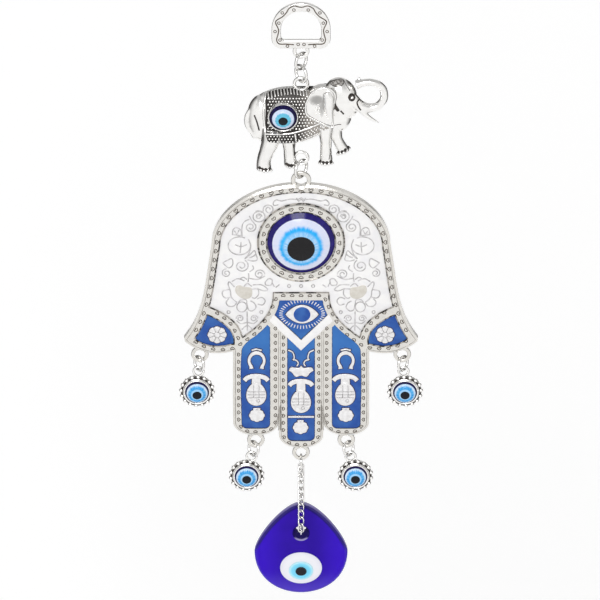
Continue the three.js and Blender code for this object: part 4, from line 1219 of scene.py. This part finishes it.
scrolls = [spline_through(pixels) for pixels in scroll_curves]
scrolls += [spiral(*shape) for shape in scroll_spirals]
scrolls += [arc(px, py, dot_radius, dot_radius, 0, 360, 12) for px, py in scroll_dots]
scrolls += [
    spline_through([(248.8, 215.2), (251.5, 220), (255, 224)]) + spiral(250, 226.4, 5.6, 20, -1.5),
    arc(238.9, 245, 11.2, -8.9, 60, 390, 33),
    arc(241.3, 306, 5, 5, 0, 360, 24),
]
scroll_paths = [at_depth(on_plate(pixels), enamel_front) for pixels in scrolls]
scroll_paths += [[(-x, y, z) for x, y, z in path] for path in scroll_paths]
middle_dot = arc(plate_middle, 285.1, dot_radius, dot_radius, 0, 360, 12)
scroll_paths.append(at_depth(on_plate(middle_dot), enamel_front))
palm_scrolls = wires("palm_scrolls", scroll_paths, 0.24, sides=1)
scroll_grey = two_tone(
    "scroll_grey", 1.8, 0.3, 0.7, paint(176, 174, 174), paint(214, 212, 213), Metallic=0.2, Roughness=0.35)
settle(palm_scrolls, scroll_grey, "white_enamel", "hamsa", crease=80)

heart_pixels = [
    (234.7, 288.2), (236.4, 284.9), (239.7, 284.5), (243, 285.7), (250.5, 287), (251.7, 289), (250.9, 295.7),
    (245.5, 298.1), (239.7, 296.5), (235.5, 292.3),
]
heart_front = -1.32
heart_back = -1.1
hearts = []
for side in (1, -1):
    heart = smoothed([(side * x, z) for x, z in on_plate(heart_pixels)], 4, 80)
    hearts.append(slab("blossom_heart", [heart], heart_front, heart_back, 0.1, 1))
heart_beige = two_tone(
    "heart_beige", 1.5, 0.3, 0.7, paint(212, 207, 197), paint(222, 218, 210), Metallic=0.3, Roughness=0.3)
settle(join("blossom_hearts", hearts), heart_beige, "silver", "hamsa", crease=50)

# Lucky charms in the blue cells: raised cast figures, silver left bare and polished on top, with a painted
# shadow of dark blue round their feet: horseshoe, arch with a scarab oval, rosette, bow, curls and an eye.
figure_front = -1.5
figure_back = -1.0
lash_front = -1.3
shadow_front = -1.26
shadow_back = -1.1
shadow_width = 0.32
figure_step = 0.03
groove_front = figure_front - 0.05
iris_front = -1.62
iris_back = -1.4
eye_middle = 301.5
figures = []
grooves = []


def figure(pixels, front=figure_front):
    """A raised figure with its outline in pixels of the picture."""
    figures.append((on_plate(pixels), front))


def ribbon(pixels, width):
    """The outline of a flat band along a path of (x, y) or (x, y, share of the width)."""
    left, right = [], []
    for i, spot in enumerate(pixels):
        before, after = Vector(pixels[max(i - 1, 0)][:2]), Vector(pixels[min(i + 1, len(pixels) - 1)][:2])
        run = (after - before).normalized()
        half = width / 2 * (spot[2] if len(spot) > 2 else 1)
        left.append((spot[0] - half * run.y, spot[1] + half * run.x))
        right.append((spot[0] + half * run.y, spot[1] - half * run.x))
    return left + right[::-1]


def rosette(px, py, half_width, half_height, lobes=8):
    """A scalloped disc."""
    loop = []
    for i in range(lobes * 8):
        angle = 2 * math.pi * i / (lobes * 8)
        reach = 0.9 + 0.1 * abs(math.cos(lobes * angle / 2))
        loop.append((px + half_width * reach * math.sin(angle), py - half_height * reach * math.cos(angle)))
    return loop


def scarab(px, arch_y, middle_y, reach):
    """An arch across the cell with a stem to a grooved egg."""
    bow = ((-1, 3.4), (-0.8, 0.9), (-0.45, -0.6), (0, -1.1), (0.45, -0.6), (0.8, 0.9), (1, 3.4))
    figure(ribbon(spline_through([(px + reach * share, arch_y + y) for share, y in bow], 4), 4.4))
    stem = [(px - 4.2, arch_y), (px + 4.2, arch_y), (px + 4.6, middle_y - 9), (px - 4.6, middle_y - 9)]
    figure(stem, figure_front + figure_step)
    egg = []
    for k in range(36):
        angle = math.radians(10 * k)
        half = 9.95 * (1 - 0.1 * math.sin(angle))
        egg.append((px + half * math.cos(angle), middle_y - 11.5 * math.sin(angle)))
    figure(egg, figure_front - figure_step)
    for x in (-2.6, 2.8):
        grooves.append([(px + x, middle_y - 9), (px + x, middle_y + 3)])
    for y in (-2.6, 0.4, 3.4):
        half = 9 * math.sqrt(1 - (y / 12) ** 2)
        grooves.append([(px - half, middle_y + y), (px + half, middle_y + y)])
    grooves.append(circle(px + 2, middle_y + 6.6, 1.5, 12))


for centre in (256, 345.2):
    shoe = [(centre + 5.2, 367.8, 1.25)]
    for k in range(25):
        angle = math.radians(-42 + 11 * k)
        rise = math.sin(angle)
        shoe.append((centre + 7.6 * math.cos(angle), 359.8 - 7.9 * rise, 0.8 + 0.25 * rise ** 2))
    shoe.append((centre - 5.2, 367.8, 1.25))
    figure(ribbon(shoe, 3.3))
    figure(ribbon([(centre - 5, 349.4), (centre, 348.2), (centre + 5, 349.4)], 1.4))
    scarab(centre - 0.4, 376.4, 393.4, 11.8)
    figure(rosette(centre + 0.2, 414.8, 7.9, 6.4))
    figure(ribbon([(centre - 3.4, 408.4), (centre + 3.6, 408.4)], 2))
scarab(300.4, 381.4, 400.6, 11.6)
figure(rosette(300, 427, 7.8, 6.4))
figure(ribbon([(297, 420.6), (303, 420.6)], 2))
figure(ribbon([(287.6, 416.2), (313.4, 416.2)], 1.6))
bow = [
    (300.6, 364.8), (303, 367), (311, 366.6), (313, 369.6), (309.6, 371.8), (306, 375.8), (300.6, 374.6),
    (295.2, 375.8), (291.6, 371.8), (288.2, 369.6), (290.2, 366.6), (298.2, 367),
]
figure(smoothed(bow, 4, 80))
curl = ((12.8, 349.2), (8.6, 351.2), (7, 355.4), (7.2, 359.6))
tail = ((8.4, 358.4), (4.6, 359.6), (2.8, 362.4), (4.2, 365.2))
for side in (-1, 1):
    for drawn in (curl, tail):
        figure(ribbon(spline_through([(plate_middle + side * dx, y) for dx, y in drawn], 6), 1.2))
    petal_x, petal_y = plate_middle + side * 84, 333.8
    figure(rosette(petal_x, petal_y, 9.6, 8.4))
    for k in range(8):
        angle = math.radians(45 * k + 22.5)
        grooves.append([
            (petal_x + 3 * math.sin(angle), petal_y + 2.7 * math.cos(angle)),
            (petal_x + 8.4 * math.sin(angle), petal_y + 7.4 * math.cos(angle))])
    grooves.append(arc(petal_x, petal_y, 3, 2.7, 0, 360, 18))

almond = []
for k in range(25):
    almond.append((285 + 33 * k / 24, 313.4 - 9.4 * math.sin(math.pi * k / 24) ** 0.8))
for k in range(1, 24):
    almond.append((318 - 33 * k / 24, 313.4 + 9 * math.sin(math.pi * k / 24) ** 0.8))
figure(almond)
lashes = 40
for k in range(lashes):
    angle = 2 * math.pi * (k + 0.5) / lashes
    x = eye_middle + (16.8 + 2.6 * abs(math.cos(angle))) * math.cos(angle)
    y = 313.2 - 11.6 * math.sin(angle)
    figure(ribbon([(x, y), (x + 3.6 * math.cos(angle), y - 3.4 * math.sin(angle))], 0.9), lash_front)

raised = []
feet = []
for loop, front in figures:
    raised.append(slab("figure", [loop], front, figure_back, 0.12, 1))
    # A dark blue band round the figure's foot is painted shadow; the lashes get none.
    if front < lash_front:
        feet.append(slab("figure_foot", [inset(loop, -shadow_width)], shadow_front, shadow_back))
figure_silver, shade = new_finish("figure_silver")
rub = shade.noise(1.4).step(0.3, 0.7)
shade.surface(
    Base_Color=rub.mix(paint(244, 243, 244), paint(228, 226, 226)), Metallic=0.35, Roughness=0.25,
    Normal=shade.bump(shade.noise(0.8), 0.02))
settle(join("lucky_figures", raised), figure_silver, "silver", "hamsa", crease=50)
# The dark blue of the painted shadow round the figures.
shadow_blue = two_tone(
    "shadow_blue", 1.0, 0.3, 0.7, paint(14, 18, 62), paint(26, 40, 104), Roughness=0.2, Coat_Weight=0.6)
settle(join("figure_feet", feet), shadow_blue, "blue_enamel", "hamsa", crease=None)
groove_paths = [at_depth(on_plate(pixels), groove_front) for pixels in grooves]
figure_grooves = wires("figure_grooves", groove_paths, 0.15, sides=0)
settle(figure_grooves, scroll_grey, "silver", "hamsa", crease=None)

iris = on_plate(arc(eye_middle, 313.3, 8.4, -7.4, 0, 360, 36)[:-1])
eye_iris = slab("eye_iris", [iris], iris_front, iris_back, 0.1, 2)
settle(eye_iris, blue_enamel, "blue_enamel", "hamsa", crease=50)

# Palm eye: a printed disc under a 25 mm clear glass dome, glued into the bezel. The glass carries the
# print's rings right up to its edge.
palm_rings = [
    (1.2, 0.01, paint(36, 28, 106), paint(44, 36, 122)),
    (0.862, 0.008, paint(226, 230, 249), paint(218, 226, 249)),
    (0.655, 0.06, paint(44, 176, 250), paint(70, 188, 252)),
    (0.534, 0.05, paint(134, 200, 250), paint(190, 222, 252)),
    (0.414, 0.012, paint(30, 29, 31), paint(36, 35, 37)),
]
palm_dome_height = 4
palm_dome_seat = -1.1
dome = turned("palm_dome", dome_profile(palm_eye, palm_dome_height), 96)
moved(dome, 0, palm_dome_seat, palm_eye_z)
dome_glass = eye_finish("dome_glass", (0, palm_eye_z), palm_rings, 0.1, palm_eye / 2)
settle(dome, dome_glass, "clear_dome", "hamsa", "palm_eye_dome", crease=30)
print_paper = two_tone(
    "print_paper", 2, 0.3, 0.7, paint(40, 60, 160), paint(60, 90, 190), Roughness=0.4)
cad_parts["palm_eye_print"].data.materials.clear()
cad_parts["palm_eye_print"].data.materials.append(print_paper)

# Eye charms: cast bezels with a rope of sixteen beads round a 10 mm eye, a loop on top, hung from the
# thumbs and the outer fingers and splayed outwards. The bezel's lip is folded over the edge of the glass,
# and the gaps between the beads are blackened.
charm_beads = 16
bead_ring = 6
charm_rise = 8.2
charm_places = {
    "left_thumb": (-38.4674, -149.9431, 4),
    "left_finger": (-18.5072, -185.8283, 13),
    "right_finger": (18.5072, -185.8283, -13),
    "right_thumb": (38.4674, -149.9431, -4),
}
charm_drop = -0.6
charm_bead = 0.8
charm_bead_y = -0.35
charm_lip = 4.72
charm_lip_wire = 0.36
charm_lip_y = -1.2
charm_loop = 1.85
charm_loop_wire = 0.45
charm_ground = 5.6
charm_ground_wire = 0.42
charm_seat = -0.4
charm_profile = [
    (0, 1.2), (5.9, 1.2), (6.2, 0.9), (6.2, -0.1), (5.9, -0.4), (5.4, -0.5), (5.3, -1.0), (5.1, -1.1),
    (5.1, -0.3), (0, -0.3),
]
charm_rings = [
    (1.2, 0.01, paint(24, 22, 66), paint(32, 30, 92)),
    (0.79, 0.015, paint(190, 222, 250), paint(222, 236, 252)),
    (0.68, 0.06, paint(58, 158, 230), paint(104, 188, 242)),
    (0.46, 0.03, paint(168, 214, 250), paint(150, 204, 248)),
    (0.345, 0.015, paint(18, 20, 26), paint(32, 36, 44)),
]

charm_silver = polished("charm_silver", (0.93, 0.92, 0.9, 1), paint(34, 30, 28), 1.5, gloss=0.12)
for place, (x, z, splay) in charm_places.items():
    hung = Matrix.Translation(Vector((x, 0, z)) * mm) @ Matrix.Rotation(math.radians(splay), 4, "Y")
    hung = hung @ Matrix.Translation(Vector((0, 0, charm_drop)) * mm)
    charm_parts = [moved(turned("cup", charm_profile), 0, 0, -charm_rise)]
    for bead_x, bead_z in circle(0, -charm_rise, bead_ring, charm_beads):
        bpy.ops.mesh.primitive_uv_sphere_add(
            segments=16, ring_count=10, radius=charm_bead * mm,
            location=Vector((bead_x, charm_bead_y, bead_z)) * mm)
        bpy.ops.object.transform_apply()
        charm_parts.append(bpy.context.object)
    lip = at_depth(circle(0, -charm_rise, charm_lip, 64), charm_lip_y)
    charm_parts.append(wires("charm_lip", [lip], charm_lip_wire, closed=True, sides=3))
    loop = at_depth(circle(0, 0, charm_loop, 36), 0)
    charm_parts.append(wires("charm_loop", [loop], charm_loop_wire, closed=True, sides=4))
    charm = join(f"{place}_bezel", charm_parts)
    charm.data.transform(hung)
    settle(charm, charm_silver, "antique_silver", f"{place}_charm", f"{place}_charm", crease=50)
    ground = at_depth(circle(0, -charm_rise, charm_ground, 48), -charm_ground_wire)
    dark_ground = wires(f"{place}_oxide", [ground], charm_ground_wire, closed=True, sides=2)
    dark_ground.data.transform(hung)
    settle(dark_ground, oxide, "antique_silver", f"{place}_charm", crease=60)
    eye = turned(f"{place}_cabochon", dome_profile(small_eye, small_eye_height), 48)
    moved(eye, 0, charm_seat, -charm_rise)
    eye.data.transform(hung)
    middle = hung @ (Vector((0, 0, -charm_rise)) * mm) / mm
    glass = eye_finish(f"{place}_glass", (middle.x, middle.z), charm_rings, 0.1, small_eye / 2)
    settle(eye, glass, "eye_glass", f"{place}_charm", f"{place}_eye", crease=30)

# Curb chain: flat oval links of plated wire, each twisted so that the next one lies beside it. It hangs
# doubled from the chain ring, and three links pass through the glass.
link_wire = 0.56
link_half_width = 1.0
link_half_length = 1.825
link_pitch = 2.9
chain_levels = 9
slanted_levels = 5
slant = math.asin(3.025 / (slanted_levels * link_pitch))
quarter = math.pi / 4


def link(name, top_turn, bottom_turn, y, z, tilt, body):
    """One link along Z, its plane turned from one end to the other, then tilted about X."""
    straight = link_half_length - link_half_width
    path = []
    for i in range(40):
        angle = 2 * math.pi * (i + 0.5) / 40
        height = math.copysign(straight, math.sin(angle)) + link_half_width * math.sin(angle)
        across = link_half_width * math.cos(angle)
        turn = top_turn + (bottom_turn - top_turn) * (link_half_length - height) / (2 * link_half_length)
        spot = Vector((across * math.cos(turn), across * math.sin(turn), height))
        path.append(tuple(Matrix.Rotation(tilt, 3, "X") @ spot + Vector((0, y, z))))
    made = wires(f"{name}_link", [path], link_wire / 2, closed=True, sides=4)
    settle(made, wire_silver, "silver", body, name, crease=60)


strand_y = 0.95
level_z = -190.4057
for level in range(1, chain_levels + 1):
    tilt = 0 if level > slanted_levels else slant
    top_turn = 0 if level == 1 else -quarter
    bottom_turn = 0 if level == chain_levels else quarter
    middle_y = strand_y + link_pitch / 2 * math.sin(tilt)
    middle_z = level_z - link_pitch / 2 * math.cos(tilt)
    body = f"chain_level_{level}"
    link(f"chain_front_{level}", top_turn, bottom_turn, -middle_y, middle_z, -tilt, body)
    link(f"chain_back_{level}", -top_turn, -bottom_turn, middle_y, middle_z, tilt, body)
    strand_y = middle_y + link_pitch / 2 * math.sin(tilt)
    level_z -= link_pitch * math.cos(tilt)
sling_z = level_z - 0.375
for i in range(1, 4):
    top_turn = 2 * quarter if i == 1 else -quarter
    bottom_turn = -2 * quarter if i == 3 else quarter
    link(f"chain_sling_{i}", top_turn, bottom_turn, (i - 2) * link_pitch, sling_z, math.pi / 2, "chain_sling")

# Glass drop: poured cobalt glass, rounded all over, with a hole near its top, and the eye laid on it in
# three layers of white, pale blue and black glass.
drop_z = -217.8116
drop_half = 2.4
drop_side = 17.6
drop_top = 11.8
drop_waist = -8.6
drop_foot = -26
drop_edge = 1.9
layer_thickness = 0.5


def cubic(a, b, c, d, steps):
    """Points of a Bezier curve."""
    points = []
    for k in range(steps + 1):
        t = k / steps
        shares = ((1 - t) ** 3, 3 * (1 - t) ** 2 * t, 3 * (1 - t) * t * t, t ** 3)
        points.append(tuple(sum(share * p[i] for share, p in zip(shares, (a, b, c, d))) for i in (0, 1)))
    return points


widest = (drop_side, drop_waist)
shoulder = cubic((0, drop_top), (6.5, drop_top), (drop_side, drop_waist + 5.3), widest, 32)
belly = cubic(widest, (drop_side, drop_waist - 10.9), (9.5, drop_foot), (0, drop_foot), 32)
drop_outline = both_halves(shoulder + belly)
drop_loop = [(x, z + drop_z) for x, z in drop_outline]
drop = slab("cobalt_drop", [drop_loop], -drop_half, drop_half, drop_edge, 10)
hole_rings = ((-drop_half - 0.1, 3.3, 0), (-drop_half + 0.3, 2.85, 0), (drop_half + 0.1, 2.1, 0.7))
bpy.ops.mesh.primitive_cylinder_add(vertices=64, radius=mm, depth=2 * mm, rotation=(math.pi / 2, 0, 0))
punch = bpy.context.object
bpy.ops.object.transform_apply()
edit(bpy.ops.mesh.bisect, plane_co=(0, 0, 0), plane_no=(0, 1, 0))
for vertex in punch.data.vertices:
    y, radius, rise = hole_rings[1 + round(vertex.co.y / mm)]
    vertex.co = Vector((radius * vertex.co.x, y * mm, radius * vertex.co.z + (rise + drop_z) * mm))
apply_modifier(drop, "BOOLEAN", operation="DIFFERENCE", solver="EXACT", object=punch)
bpy.data.objects.remove(punch)
cobalt, shade = new_finish("cobalt_glass")
across = shade.axis("X")
height = shade.axis("Z")
facing = shade.math("ABSOLUTE", shade.axis("Y", "Normal"))
rising = shade.axis("Z", "Normal")
# Painted light in the glass: the blue is lighter towards the sides and the bottom.
lit_sides = shade.math("ABSOLUTE", across).step(3 * mm, 15 * mm)
lower = 1 - height.step((drop_z - 26) * mm, (drop_z - 15) * mm)
swirl = shade.noise(7, 2).step(0.3, 0.75)
# Painted shade: a dark band inside the upper edges. Painted highlight: pale light on their steep sides.
upper_edge = rising.step(0.02, 0.3) * height.step((drop_z - 12) * mm, (drop_z - 4) * mm)
refraction_shade = upper_edge * (1 - facing.step(0.86, 0.995))
rim_highlight = upper_edge * (1 - facing.step(0.2, 0.55))
# Painted shadow inside the hole and a painted highlight on its lower lip.
below_hole = height - drop_z * mm
from_hole = shade.math("SQRT", across * across + below_hole * below_hole)
in_hole = 1 - from_hole.step(3.2 * mm, 3.4 * mm)
hole_lip_highlight = in_hole * from_hole.step(2.7 * mm, 2.9 * mm) * (1 - below_hole.step(-2.6 * mm, -1.6 * mm))
blue_lighter_at_sides = lit_sides.mix(swirl.mix(paint(50, 16, 168), paint(56, 18, 184)), paint(64, 22, 212))
lit_blue = (0.85 * lower).mix(blue_lighter_at_sides, paint(98, 76, 220))
edge_shaded = (0.85 * refraction_shade).mix(lit_blue, paint(20, 4, 96))
rim_highlighted = (0.7 * rim_highlight).mix(edge_shaded, paint(176, 168, 228))
hole_shaded = (0.9 * in_hole).mix(rim_highlighted, paint(18, 4, 92))
shade.surface(
    Base_Color=(0.85 * hole_lip_highlight).mix(hole_shaded, paint(206, 200, 240)), Roughness=0.04, IOR=1.35,
    Transmission_Weight=0.35, Specular_IOR_Level=0.0,
    Coat_Weight=(1 - facing.step(0.55, 0.98)) * (1 - in_hole), Coat_Roughness=0.05)
settle(drop, cobalt, "cobalt_glass", "glass_drop", "glass_drop", crease=30)

eye_z = drop_z - 14.6
layers = (
    ("drop_eye_white", "white_glass", (15.8, 13.2), 0, -2.5, (paint(240, 240, 246), paint(232, 232, 242))),
    ("drop_eye_blue", "pale_blue_glass", (9.2, 7.6), 0.9, -3.1, (paint(126, 220, 252), paint(196, 240, 250))),
    ("drop_eye_pupil", "black_glass", (4.2, 3.6), 0.9, -3.7, (paint(24, 24, 30), paint(34, 34, 40))),
)
for node, slot, (width, tall), lower, back, tints in layers:
    oval = arc(0, eye_z - lower, width / 2, tall / 2, 0, 360, 72)[:-1]
    layer = slab(f"{node}_layer", [oval], back - layer_thickness, back, 0.22, 4)
    glass, shade = new_finish(f"{node}_glass")
    across = shade.axis("X") * (2 / (width * mm))
    upwards = (shade.axis("Z") - (eye_z - lower) * mm) * (2 / (tall * mm))
    rim = (across * across + upwards * upwards + 0.2 * (shade.noise(1.2) - 0.5)).step(0.45, 1.0)
    shade.surface(Base_Color=rim.mix(*tints), Roughness=0.1, Specular_IOR_Level=0.25)
    settle(layer, glass, slot, "glass_drop", node, crease=60)
